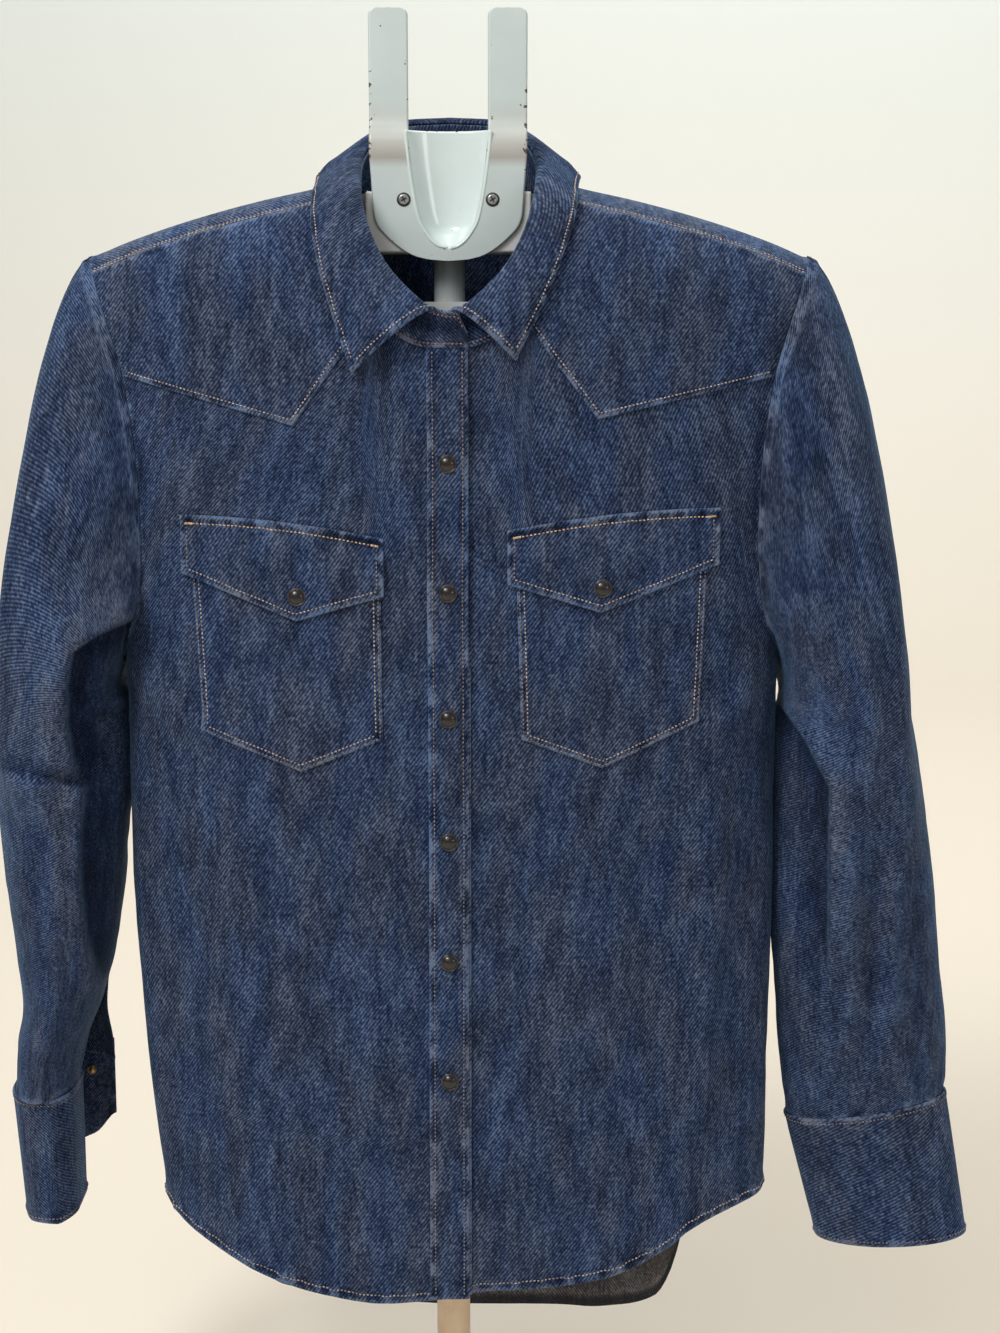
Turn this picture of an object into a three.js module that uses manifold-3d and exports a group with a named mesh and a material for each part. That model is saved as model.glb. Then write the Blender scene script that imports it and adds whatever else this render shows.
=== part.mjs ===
// Denim western shirt hanging on a pole hanger. Millimetres, +Z up, the front faces -Y and
// +X is the viewer's right. The origin is the middle of the pole's lower end.
import * as THREE from 'three';
import Module from 'manifold-3d';

const wasm = await Module();
wasm.setup();

const object = new THREE.Group();

const DENIM = new THREE.MeshStandardMaterial({ color: 0x2b3654, roughness: 0.92, metalness: 0 });
const SNAP = new THREE.MeshStandardMaterial({ color: 0x1d1a1c, roughness: 0.25, metalness: 0.35 });
const PAINT = new THREE.MeshStandardMaterial({ color: 0xd9dfe0, roughness: 0.4, metalness: 0.1 });
const TUBE = new THREE.MeshStandardMaterial({ color: 0xc2cacd, roughness: 0.35, metalness: 0.4 });
const WOOD = new THREE.MeshStandardMaterial({ color: 0xc89a6a, roughness: 0.6, metalness: 0 });
const STEEL = new THREE.MeshStandardMaterial({ color: 0x8f9496, roughness: 0.35, metalness: 0.9 });

// Cloth and clearances
const CLOTH = 1.6; // wall of a cut piece
const PLY = 1.2; // wall of a piece sewn onto another
const SEAM = 0.3; // clearance between two pieces at a seam
const EASE = 0.75; // space under a piece that lies on a curved panel

const rad = (deg) => (deg * Math.PI) / 180;
const clamp = (v, lo, hi) => Math.min(hi, Math.max(lo, v));
const mix = (a, b, t) => a + (b - a) * t;
const ramp = (from, to, v) => {
  const t = clamp((v - from) / (to - from), 0, 1);
  return t * t * (3 - 2 * t);
};
const power = (v, exponent) => Math.sign(v) * Math.abs(v) ** exponent;

// A smooth reading of one column of a table, by another column that rises.
function reading(rows, by, of) {
  const at = rows.map((row) => row[by]);
  const value = rows.map((row) => row[of]);
  const step = at.slice(1).map((a, i) => (value[i + 1] - value[i]) / (a - at[i]));
  const slope = at.map((_, i) => {
    if (i === 0) return step[0];
    if (i === at.length - 1) return step[i - 1];
    return step[i - 1] * step[i] <= 0 ? 0 : (2 * step[i - 1] * step[i]) / (step[i - 1] + step[i]);
  });
  return (v) => {
    if (v <= at[0]) return value[0] + slope[0] * (v - at[0]);
    const last = at.length - 1;
    if (v >= at[last]) return value[last] + slope[last] * (v - at[last]);
    let i = 0;
    while (v > at[i + 1]) i += 1;
    const w = at[i + 1] - at[i];
    const t = (v - at[i]) / w;
    return (
      (2 * t ** 3 - 3 * t ** 2 + 1) * value[i] +
      (t ** 3 - 2 * t ** 2 + t) * w * slope[i] +
      (3 * t ** 2 - 2 * t ** 3) * value[i + 1] +
      (t ** 3 - t ** 2) * w * slope[i + 1]
    );
  };
}

// The body: half widths and depths of the hanging shirt at each height
const SQUARENESS = 2.4; // exponent of the plan section, 2 is an ellipse
const BODY = [
  { z: 40, left: 182, right: 201, front: 82, back: 82 },
  { z: 140, left: 183, right: 202, front: 82, back: 82 },
  { z: 300, left: 196, right: 203, front: 77, back: 82 },
  { z: 400, left: 201, right: 204, front: 75, back: 80 },
  { z: 536, left: 203, right: 205, front: 75, back: 78 },
  { z: 640, left: 208, right: 209, front: 73, back: 76 },
  { z: 700, left: 215, right: 216, front: 69, back: 73 },
  { z: 778, left: 232, right: 233, front: 62, back: 66 },
  { z: 830, left: 240, right: 241, front: 58, back: 60 },
];
const BODY_AT = Object.fromEntries(
  ['left', 'right', 'front', 'back'].map((name) => [name, reading(BODY, 'z', name)]),
);

// The shoulder line over the hanger, from the neck out to the sleeve head.
const SHOULDER = [
  { out: 0, z: 836 },
  { out: 40, z: 829 },
  { out: 80, z: 819 },
  { out: 112, z: 812 },
  { out: 150, z: 802 },
  { out: 190, z: 789 },
  { out: 217, z: 778 },
  { out: 240, z: 768 },
];
const shoulderAt = reading(SHOULDER, 'out', 'z');
const SHOULDER_ROUND = 60; // height over which front and back part from the shoulder line
const SHOULDER_OUT = 217; // half of the shoulder width
const UNDERARM = 536; // height of the armpit

// How far round the body the panels reach, from centre (0) to side seam (90), in degrees.
const ARMHOLE = [
  { z: 536, turn: 90 },
  { z: 540, turn: 81 },
  { z: 548, turn: 74.5 },
  { z: 562, turn: 68 },
  { z: 582, turn: 64 },
  { z: 614, turn: 61.5 },
  { z: 663, turn: 60.8 },
  { z: 710, turn: 61.2 },
  { z: 738, turn: 63 },
  { z: 760, turn: 65 },
  { z: 780, turn: 67.2 },
];
const armholeTurn = reading(ARMHOLE, 'z', 'turn');
const reach = (z) => (z <= UNDERARM ? 90 : armholeTurn(Math.min(z, 784)));
const SIDE = 89.87; // the panels stop this far round, just short of the side seam's middle
const panelReach = (z) => Math.min(SIDE, reach(z));

// The large soft folds of the hanging body: face -1 front, 1 back; turn in degrees from centre,
// negative on the viewer's left; from and to are heights; half is the half width in degrees.
const BODY_FOLDS = [
  { face: -1, turn: -72, from: 190, to: 520, half: 9, rise: 4 },
  { face: -1, turn: 71, from: 190, to: 500, half: 9, rise: 4 },
  { face: -1, turn: -30, from: 150, to: 420, half: 12, rise: 2.5 },
  { face: -1, turn: 33, from: 150, to: 430, half: 12, rise: 2.5 },
  { face: 1, turn: -62, from: 80, to: 560, half: 10, rise: 6 },
  { face: 1, turn: -22, from: 60, to: 600, half: 11, rise: 5 },
  { face: 1, turn: 18, from: 60, to: 600, half: 11, rise: 5 },
  { face: 1, turn: 60, from: 80, to: 560, half: 10, rise: 6 },
];

function over(x, z) {
  const h = clamp(shoulderAt(Math.abs(x)) - z, 0, SHOULDER_ROUND) / SHOULDER_ROUND;
  return Math.sqrt(1 - (1 - h) ** 2);
}

// A point of the body's outer face by its turn round from the centre and its height.
function body(face, turn, z) {
  const angle = rad(turn);
  const half = BODY_AT[turn < 0 ? 'left' : 'right'](z);
  const deep = BODY_AT[face < 0 ? 'front' : 'back'](z);
  const x = half * power(Math.sin(angle), 2 / SQUARENESS);
  let out = 0;
  for (const fold of BODY_FOLDS) {
    if (fold.face !== face) continue;
    const away = (turn - fold.turn) / fold.half;
    const tall = ramp(fold.from - 60, fold.from + 40, z) * (1 - ramp(fold.to - 140, fold.to, z));
    out += fold.rise * Math.exp(-away * away) * tall;
  }
  const y = (deep * power(Math.abs(Math.cos(angle)), 2 / SQUARENESS) + out * Math.cos(angle)) * over(x, z);
  return new THREE.Vector3(x + out * Math.sin(angle), face * y, z);
}

const turnOf = (x, z) => {
  const half = BODY_AT[x < 0 ? 'left' : 'right'](z);
  return Math.sign(x) * (180 / Math.PI) * Math.asin(clamp(Math.abs(x) / half, 0, 1) ** (SQUARENESS / 2));
};
const panel = (face, x, z) => body(face, turnOf(x, z), z);

// Walls
function add(name, geometry, material) {
  const mesh = new THREE.Mesh(geometry, material);
  mesh.name = name;
  object.add(mesh);
  return mesh;
}

function facets(points, faces) {
  const geometry = new THREE.BufferGeometry();
  let volume = 0;
  for (const [a, b, c] of faces) {
    volume += points[a].dot(new THREE.Vector3().crossVectors(points[b], points[c])) / 6;
  }
  const turned = volume < 0 ? faces.map(([a, b, c]) => [a, c, b]) : faces;
  geometry.setAttribute('position', new THREE.Float32BufferAttribute(points.flatMap((p) => p.toArray()), 3));
  geometry.setIndex(turned.flat());
  geometry.computeVertexNormals();
  return geometry;
}

// The unit normal of a surface at (u, v), on the side away from the middle point.
function normalOf(surface, u, v, away) {
  const e = 1e-3;
  const across = surface(u + e, v).sub(surface(u - e, v));
  const along = surface(u, v + e).sub(surface(u, v - e));
  return across.cross(along).normalize().multiplyScalar(away);
}

// A closed wall of cloth: outer face from surface(u, v), the inner one set in by thick.
// us and vs are the stations; round joins the last u to the first; away is 1 or -1 and says
// which side of the surface is the outer one; lift(u, v) moves the piece out from the surface;
// level keeps the wall's edges level, for a band that leans.
function wall(
  name,
  surface,
  { us, vs, thick = CLOTH, round = false, level = false, away, lift = () => 0, material = DENIM },
) {
  const outer = [];
  const inner = [];
  const hold = round ? (u) => u : (u) => clamp(u, 0.002, 0.998);
  for (const v of vs) {
    for (const u of us) {
      const n = normalOf(surface, hold(u), clamp(v, 0.002, 0.998), away);
      if (level) n.setZ(0).normalize();
      const p = surface(u, v).addScaledVector(n, lift(u, v));
      outer.push(p);
      inner.push(p.clone().addScaledVector(n, -thick));
    }
  }
  const count = us.length;
  const base = outer.length;
  const faces = [];
  const cells = round ? count : count - 1;
  for (let j = 0; j < vs.length - 1; j += 1) {
    for (let i = 0; i < cells; i += 1) {
      const a = j * count + i;
      const b = j * count + ((i + 1) % count);
      const c = a + count;
      const d = b + count;
      faces.push([a, b, d], [a, d, c]);
      faces.push([base + a, base + d, base + b], [base + a, base + c, base + d]);
    }
  }
  const rim = (a, b) => faces.push([b, a, base + a], [b, base + a, base + b]);
  const top = (vs.length - 1) * count;
  for (let i = 0; i < cells; i += 1) {
    const next = (i + 1) % count;
    rim(i, next);
    rim(top + next, top + i);
  }
  if (!round) {
    for (let j = 0; j < vs.length - 1; j += 1) {
      rim((j + 1) * count, j * count);
      rim(j * count + count - 1, (j + 1) * count + count - 1);
    }
  }
  return add(name, facets([...outer, ...inner], faces), material);
}

const even = (n) => Array.from({ length: n + 1 }, (_, i) => i / n);
const ring = (n) => Array.from({ length: n }, (_, i) => i / n);

// Fronts: two halves that lap at the centre, from the hem to neckline and shoulder seam
const NECK_HALF = 64; // half width of the neckline
const NECK_FRONT = 727; // height of the neckline at the centre front
const NECK_BACK = 45; // how far behind the shoulder line the neckline passes
const YOKE_DROP = 12; // the yoke comes this far over to the front
const HEM = {
  front: 142,
  frontRise: { left: 25, right: 36 },
  back: 58,
  side: { left: 167, right: 178 },
  curve: 3.5,
};
const LAP = 12.5; // half of the lap at the centre front

const neckAt = (x) => mix(NECK_FRONT, shoulderAt(NECK_HALF), clamp(Math.abs(x) / NECK_HALF, 0, 1) ** 3.2);

function frontHem(turn) {
  return HEM.front + HEM.frontRise[turn < 0 ? 'left' : 'right'] * Math.abs(Math.sin(rad(turn))) ** HEM.curve;
}
function backHem(turn) {
  const side = HEM.side[turn < 0 ? 'left' : 'right'];
  return mix(HEM.back, side, Math.abs(Math.sin(rad(turn))) ** HEM.curve);
}

// The height at which a line of constant share p of the panel's reach meets its top edge.
function meets(edge, face, p) {
  let low = 600;
  let high = 830;
  for (let i = 0; i < 30; i += 1) {
    const z = (low + high) / 2;
    const x = body(face, p * panelReach(z), z).x;
    if (z < edge(x)) low = z;
    else high = z;
  }
  return low;
}
const frontTop = (x) => Math.min(neckAt(x), shoulderAt(Math.abs(x)) - YOKE_DROP) - SEAM * 3;

const ARMPIT_SHARE = 0.6; // share of the rows below the armpit
const FRONT_ROWS = [
  ...even(10).map((t) => ARMPIT_SHARE * t),
  ...even(9).slice(1).map((t) => ARMPIT_SHARE + (1 - ARMPIT_SHARE) * t ** 1.25),
];

// Rows run from the hem to the armpit level and on to the top edge, on every line p.
function rowHeight(v, low, top) {
  if (v <= ARMPIT_SHARE) return mix(low, UNDERARM, v / ARMPIT_SHARE);
  return mix(UNDERARM, top, (v - ARMPIT_SHARE) / (1 - ARMPIT_SHARE));
}

const LAP_SHARE = 0.024; // share of the reach that runs past the centre
function frontSurface(side) {
  return (u, v) => {
    const p = side * mix(-LAP_SHARE, 1, u);
    const z = rowHeight(v, frontHem(p * 90), meets(frontTop, -1, p));
    const point = body(-1, p * panelReach(z), z);
    if (side > 0) point.y += (CLOTH + SEAM * 2) * (1 - ramp(LAP + 8, LAP + 28, point.x));
    return point;
  };
}
const SPREAD = [
  -LAP_SHARE, 0.038, 0.08, 0.115, 0.15, 0.185, 0.24, 0.32, 0.41, 0.5, 0.6, 0.7, 0.8, 0.9, 1,
].map(
  (p) => (p + LAP_SHARE) / (1 + LAP_SHARE),
);
wall('front_right', frontSurface(-1), { us: SPREAD, vs: FRONT_ROWS, away: -1 });
wall('front_left', frontSurface(1), { us: SPREAD, vs: FRONT_ROWS, away: 1 });

// Back: one panel from the tail up to the pointed yoke seam
const YOKE_SEAM = [
  { out: 0, z: 684 },
  { out: 55, z: 700 },
  { out: 120, z: 716 },
  { out: 200, z: 708 },
];
const yokeSeamAt = reading(YOKE_SEAM, 'out', 'z');
const backTop = (x) => yokeSeamAt(Math.abs(x)) - SEAM * 3;
const BACK_ROWS = [
  ...even(11).map((t) => ARMPIT_SHARE * t),
  ...even(6).slice(1).map((t) => ARMPIT_SHARE + (1 - ARMPIT_SHARE) * t ** 1.25),
];
wall(
  'back',
  (u, v) => {
    const p = mix(-1, 1, u);
    const z = rowHeight(v, backHem(p * 90), meets(backTop, 1, p));
    return body(1, p * panelReach(z), z);
  },
  { us: even(22), vs: BACK_ROWS, away: -1 },
);

// Back yoke: from the front shoulder seams over the shoulders and round the neck
const CREST = 80; // length of the rounding from the shoulder line down to the flat
function overShoulder(x, t) {
  const away = Math.abs(t);
  const h = away < CREST
    ? SHOULDER_ROUND * (1 - Math.cos((away / CREST) * (Math.PI / 2)))
    : SHOULDER_ROUND + away - CREST;
  return panel(t < 0 ? -1 : 1, x, shoulderAt(Math.abs(x)) - h);
}
function downOf(x, z) {
  const h = shoulderAt(Math.abs(x)) - z;
  if (h >= SHOULDER_ROUND) return CREST + h - SHOULDER_ROUND;
  return CREST * (Math.acos(clamp(1 - h / SHOULDER_ROUND, -1, 1)) / (Math.PI / 2));
}
const SEAM_DOWN = downOf(100, shoulderAt(100) - YOKE_DROP);

// The neckline at a bearing: 0 at the back centre, 180 at the centre front, negative on the left.
const NECK_END = 113; // bearing at which the neckline meets the front shoulder seam
function necklineFlat(bearing) {
  const x = NECK_HALF * Math.sin(rad(bearing));
  const far = Math.abs(bearing);
  if (far <= 90) {
    const deep = BODY_AT.back(shoulderAt(Math.abs(x))) * 0.97;
    const share = (NECK_BACK * Math.cos(rad(far))) / deep;
    return { x, t: CREST * (Math.asin(share) / (Math.PI / 2)) };
  }
  return { x, t: -downOf(x, neckAt(x)) };
}
function neckline(bearing) {
  const { x, t } = necklineFlat(bearing);
  return overShoulder(x, t);
}
let neckEnd = 90;
while (necklineFlat(neckEnd).t > -SEAM_DOWN) neckEnd += 0.25;

const YOKE_TURNS = 0.31; // share of the yoke's outer edge that runs down each armhole
function yokeOuter(u) {
  const side = u < 0.5 ? -1 : 1;
  const near = Math.min(u, 1 - u);
  if (near < YOKE_TURNS) {
    const down = downOf(196, yokeSeamAt(196));
    const t = mix(-SEAM_DOWN, down, near / YOKE_TURNS);
    const x0 = 205;
    const away = Math.abs(t);
    const h = away < CREST
      ? SHOULDER_ROUND * (1 - Math.cos((away / CREST) * (Math.PI / 2)))
      : SHOULDER_ROUND + away - CREST;
    const z = shoulderAt(x0 + 8) - h;
    return { x: body(1, side * reach(z), z).x, t };
  }
  const x = mix(-1, 1, (u - YOKE_TURNS) / (1 - 2 * YOKE_TURNS)) * 196;
  return { x, t: downOf(x, yokeSeamAt(Math.abs(x))) };
}
wall(
  'back_yoke',
  (u, v) => {
    const a = necklineFlat(mix(-neckEnd, neckEnd, u));
    const b = yokeOuter(u);
    return overShoulder(mix(a.x, b.x, v), mix(a.t, b.t, v));
  },
  { us: even(34), vs: even(7), away: 1 },
);

// Front yokes: pointed, laid on the fronts
const FRONT_YOKE = [
  { side: -1, neckX: 44, neckZ: 745, tipX: 90, tipZ: 680, armZ: 708 },
  { side: 1, neckX: 44, neckZ: 742, tipX: 88, tipZ: 684, armZ: 708 },
];
const TIP_SHARE = 0.38; // where along its lower edge the yoke has its point
for (const yoke of FRONT_YOKE) {
  const armX = Math.abs(body(-1, yoke.side * reach(yoke.armZ), yoke.armZ).x) - 2.5;
  const shoulderX = SHOULDER_OUT - 4.5;
  const seamZ = (x) => shoulderAt(x) - YOKE_DROP - SEAM * 2;
  wall(
    yoke.side < 0 ? 'front_yoke_right' : 'front_yoke_left',
    (u, v) => {
      const low =
        u < TIP_SHARE
          ? [mix(yoke.neckX, yoke.tipX, u / TIP_SHARE), mix(yoke.neckZ, yoke.tipZ, u / TIP_SHARE)]
          : [
              mix(yoke.tipX, armX, (u - TIP_SHARE) / (1 - TIP_SHARE)),
              mix(yoke.tipZ, yoke.armZ, (u - TIP_SHARE) / (1 - TIP_SHARE)),
            ];
      const highX = mix(NECK_HALF - 1, shoulderX, u);
      const x = mix(low[0], highX, v);
      const z = mix(low[1], seamZ(highX), v);
      return panel(-1, yoke.side * x, z);
    },
    {
      us: [0, 0.13, 0.26, TIP_SHARE, 0.5, 0.62, 0.75, 0.88, 1],
      vs: even(6),
      thick: PLY,
      away: yoke.side < 0 ? -1 : 1,
      lift: () => EASE + PLY,
    },
  );
}

// Placket band down the centre front, on the front that laps over
const BAND = { left: -11.5, right: 12.2 };
wall(
  'placket',
  (u, v) => {
    const x = mix(BAND.left, BAND.right, u);
    const z = mix(frontHem(0) + 0.4, NECK_FRONT - 1.5, v);
    return panel(-1, x, z);
  },
  { us: even(2), vs: even(22), thick: PLY, away: 1, lift: () => EASE + PLY },
);

// Chest pockets and their flaps, laid on the fronts; across and down in millimetres
const POCKETS = [
  {
    side: -1,
    inX: 39.5, outX: 152, topIn: 584, topOut: 596,
    footIn: 495, footOut: 498, footInX: 39, footOutX: 147,
    tipX: 88, tipZ: 474.5,
  },
  {
    side: 1,
    inX: 41, outX: 154, topIn: 590, topOut: 598,
    footIn: 495, footOut: 503, footInX: 44, footOutX: 150,
    tipX: 92, tipZ: 477,
  },
];
const FLAPS = [
  { side: -1, inX: 37.5, outX: 157, topIn: 614, topOut: 627, footIn: 581, footOut: 593, tipX: 89, tipZ: 566 },
  { side: 1, inX: 35.7, outX: 160, topIn: 619, topOut: 631, footIn: 588, footOut: 598, tipX: 90, tipZ: 571 },
];
const WINGS = [0, 0.16, 0.32, 0.46, 0.6, 0.73, 0.87, 1];
function pointedPatch(row, u, v) {
  const tip = 0.46;
  const inner = u < tip;
  const t = inner ? u / tip : (u - tip) / (1 - tip);
  const topX = mix(row.inX, row.outX, u);
  const topZ = mix(row.topIn, row.topOut, u) + 3 * Math.sin(Math.PI * u);
  const inX = row.footInX ?? row.inX;
  const outX = row.footOutX ?? row.outX;
  const footX = inner ? mix(inX, row.tipX, t) : mix(row.tipX, outX, t);
  const footZ = inner ? mix(row.footIn, row.tipZ, t) : mix(row.tipZ, row.footOut, t);
  return panel(-1, row.side * mix(topX, footX, v), mix(topZ, footZ, v));
}
for (const row of POCKETS) {
  wall(row.side < 0 ? 'pocket_right' : 'pocket_left', (u, v) => pointedPatch(row, u, v), {
    us: WINGS, vs: even(5), thick: PLY, away: row.side < 0 ? 1 : -1, lift: () => EASE + PLY,
  });
}
const FLAP_OVER = PLY + EASE; // the flap's lower part passes over the pocket's mouth
for (const row of FLAPS) {
  wall(row.side < 0 ? 'flap_right' : 'flap_left', (u, v) => pointedPatch(row, u, v), {
    us: WINGS, vs: even(4), thick: PLY, away: row.side < 0 ? 1 : -1,
    lift: (u, v) => EASE + PLY + FLAP_OVER * ramp(0.05, 0.5, v),
  });
}

// Collar: a stand on the neckline and a fall that rolls over it to the two points
const ROLL = [
  { bearing: 0, out: 0, y: 50, z: 862 },
  { bearing: 30, out: 27, y: 45, z: 860 },
  { bearing: 60, out: 45, y: 28, z: 851 },
  { bearing: 90, out: 53, y: 1, z: 835 },
  { bearing: 105, out: 51, y: -26, z: 818 },
  { bearing: 120, out: 46, y: -45, z: 798 },
  { bearing: 140, out: 35, y: -58, z: 775 },
  { bearing: 160, out: 18, y: -66, z: 756 },
  { bearing: 172, out: 7, y: -70, z: 748 },
  { bearing: 180, out: 0, y: -71, z: 746 },
];
const rollAt = Object.fromEntries(['out', 'y', 'z'].map((name) => [name, reading(ROLL, 'bearing', name)]));
const rollPoint = (bearing) => {
  const far = Math.abs(bearing);
  return new THREE.Vector3(Math.sign(bearing) * rollAt.out(Math.min(far, 180)), rollAt.y(far), rollAt.z(far));
};
// Past the centre front each end of the stand runs on across, one over the other.
function standPoint(bearing, v) {
  const far = Math.abs(bearing);
  const side = Math.sign(bearing);
  const low = neckline(Math.min(far, 180) * side);
  const high = rollPoint(Math.min(far, 180) * side);
  low.z += SEAM * 3 + 2.1 * ramp(92, 112, far) * (1 - ramp(155, 172, far));
  high.z -= 4.4;
  const p = low.lerp(high, v);
  if (far > 180) p.x -= side * (far - 180) * 1.1;
  p.y -= (side < 0 ? 1.1 : -1.1) * ramp(150, 176, far);
  return p;
}
const STAND_END = 191;
wall('collar_stand', (u, v) => standPoint(mix(-STAND_END, STAND_END, u), v), {
  us: even(40), vs: even(2), away: -1, level: true,
});

const LEAF = [
  // bearing along the neck; out, z: where the outer edge lies; y is given where it hangs free
  { side: -1, bearing: 90, out: 80, z: 824 },
  { side: -1, bearing: 112, out: 80, z: 806 },
  { side: -1, bearing: 132, out: 75, z: 776 },
  { side: -1, bearing: 152, out: 67, z: 747 },
  { side: -1, bearing: 175, out: 55, z: 711 },
  { side: 1, bearing: 90, out: 78, z: 824 },
  { side: 1, bearing: 112, out: 76, z: 806 },
  { side: 1, bearing: 132, out: 67, z: 777 },
  { side: 1, bearing: 152, out: 57, z: 752 },
  { side: 1, bearing: 178, out: 40, z: 718 },
];
const LEAF_BACK = [
  { bearing: 0, out: 0, y: 67, z: 820 },
  { bearing: 30, out: 37, y: 63, z: 821 },
  { bearing: 60, out: 65, y: 42, z: 824 },
  { bearing: 90, out: 80, y: 2, z: 826 },
];
const LEAF_END = { left: 175, right: 178 };
const LEAF_CLEAR = 5.7; // the leaf's outer face stands at least this far off the fronts
const leafBack = Object.fromEntries(
  ['out', 'y', 'z'].map((name) => [name, reading(LEAF_BACK, 'bearing', name)]),
);
const leafFront = {};
for (const side of [-1, 1]) {
  const rows = LEAF.filter((row) => row.side === side);
  leafFront[side] = { out: reading(rows, 'bearing', 'out'), z: reading(rows, 'bearing', 'z') };
}
function leafEdge(bearing) {
  const far = Math.abs(bearing);
  const side = bearing < 0 ? -1 : 1;
  const backPart = new THREE.Vector3(
    side * leafBack.out(Math.min(far, 90)),
    leafBack.y(Math.min(far, 90)),
    leafBack.z(Math.min(far, 90)),
  );
  if (far <= 88) return backPart;
  const x = side * leafFront[side].out(Math.max(far, 90));
  const z = leafFront[side].z(Math.max(far, 90));
  const p = panel(-1, x, Math.min(z, shoulderAt(Math.abs(x)) - 0.01));
  p.z = z;
  p.y -= LEAF_CLEAR * ramp(90, 112, far);
  p.z += 1.5 * (1 - ramp(96, 125, far));
  return backPart.lerp(p, ramp(88, 104, far));
}
function fallPoint(u, v) {
  const bearing = mix(-LEAF_END.left, LEAF_END.right, u);
  const start = rollPoint(bearing);
  start.z -= 2.6;
  const end = leafEdge(bearing);
  const outward = new THREE.Vector3(start.x, start.y + 8, 0).normalize();
  const rise = start.clone().add(new THREE.Vector3(0, 0, 11)).addScaledVector(outward, 1.5);
  const ahead = ramp(95, 140, Math.abs(bearing));
  const rest = end
    .clone()
    .lerp(start, 0.5)
    .addScaledVector(outward, mix(7, 15, ahead))
    .add(new THREE.Vector3(0, -4 * ahead, mix(12, 7, ahead)));
  const w = 1 - v;
  const p = start
    .multiplyScalar(w ** 3)
    .addScaledVector(rise, 3 * w * w * v)
    .addScaledVector(rest, 3 * w * v * v)
    .addScaledVector(end, v ** 3);
  const edgeX = NECK_HALF * clamp((p.z - NECK_FRONT) / 96, 0, 1) ** (1 / 3.2);
  const onFront = ramp(edgeX - 7, edgeX + 1, Math.abs(p.x)) * ramp(88, 100, Math.abs(bearing));
  const most = panel(-1, p.x, p.z).y - LEAF_CLEAR;
  if (p.y > most) p.y = mix(p.y, most, onFront);
  return p;
}
wall('collar_fall', fallPoint, {
  us: even(38),
  vs: [0, 0.1, 0.22, 0.36, 0.55, 0.77, 1],
  away: 1,
  thick: CLOTH,
});

// Sleeves: set into the armholes, then down through rings to the cuff seam
// mid, half: middle and half width across; fore: how far the ring lies forward; deep: half depth.
const SLEEVES = [
  {
    side: -1, foot: 246, tilt: 0, // tilt: how far the cuff seam rises towards the outer side
    rings: [
      { z: 246, mid: 260, half: 19.5, deep: 50, fore: 4 },
      { z: 274, mid: 257, half: 21.5, deep: 52, fore: 2 },
      { z: 304, mid: 249.5, half: 24, deep: 55, fore: 1 },
      { z: 336, mid: 247, half: 29.5, deep: 58, fore: 0 },
      { z: 400, mid: 246, half: 36.5, deep: 63, fore: -2 },
      { z: 450, mid: 247.5, half: 39, deep: 66, fore: -2 },
      { z: 500, mid: 247.5, half: 37.5, deep: 69, fore: -2 },
    ],
  },
  {
    side: 1, foot: 243, tilt: 8,
    rings: [
      { z: 243, mid: 267.5, half: 50.5, deep: 26, fore: 8 },
      { z: 262, mid: 266.5, half: 52, deep: 31, fore: 8 },
      { z: 300, mid: 263, half: 53.5, deep: 37, fore: 8 },
      { z: 336, mid: 259.5, half: 52, deep: 43, fore: 7 },
      { z: 400, mid: 256.5, half: 48.5, deep: 51, fore: 5 },
      { z: 450, mid: 253.5, half: 44, deep: 59, fore: 3 },
      { z: 500, mid: 248.5, half: 39.5, deep: 67, fore: 0 },
    ],
  },
];
// Folds of a sleeve: round is the share round it (0 outer, 0.25 front, 0.5 next to the body),
// at its lower and upper end; from and to are shares down the sleeve; half is a share round.
const SLEEVE_FOLDS = [
  { side: -1, foot: 0.13, head: 0.11, from: 0.02, to: 0.45, half: 0.045, rise: 5 },
  { side: -1, foot: 0.3, head: 0.12, from: 0.4, to: 0.58, half: 0.07, rise: 7 },
  { side: -1, foot: 0.36, head: 0.2, from: 0.46, to: 0.62, half: 0.05, rise: -6 },
  { side: -1, foot: 0.28, head: 0.12, from: 0.58, to: 0.74, half: 0.05, rise: -4 },
  { side: -1, foot: 0.27, head: 0.22, from: 0.64, to: 0.95, half: 0.05, rise: 4 },
  { side: -1, foot: 0.72, head: 0.78, from: 0.3, to: 0.9, half: 0.06, rise: 5 },
  { side: 1, foot: 0.17, head: 0.1, from: 0.02, to: 0.7, half: 0.045, rise: 5 },
  { side: 1, foot: 0.28, head: 0.36, from: 0.3, to: 0.8, half: 0.05, rise: 5 },
  { side: 1, foot: 0.22, head: 0.27, from: 0.45, to: 0.98, half: 0.03, rise: -4 },
  { side: 1, foot: 0.13, head: 0.17, from: 0.6, to: 0.98, half: 0.03, rise: -4 },
  { side: 1, foot: 0.75, head: 0.72, from: 0.3, to: 0.9, half: 0.06, rise: 5 },
];
const SETTING = 500; // height at which the sleeve's first level ring lies
const HEAD_SHARE = 0.42; // share of the sleeve's length above it

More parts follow.
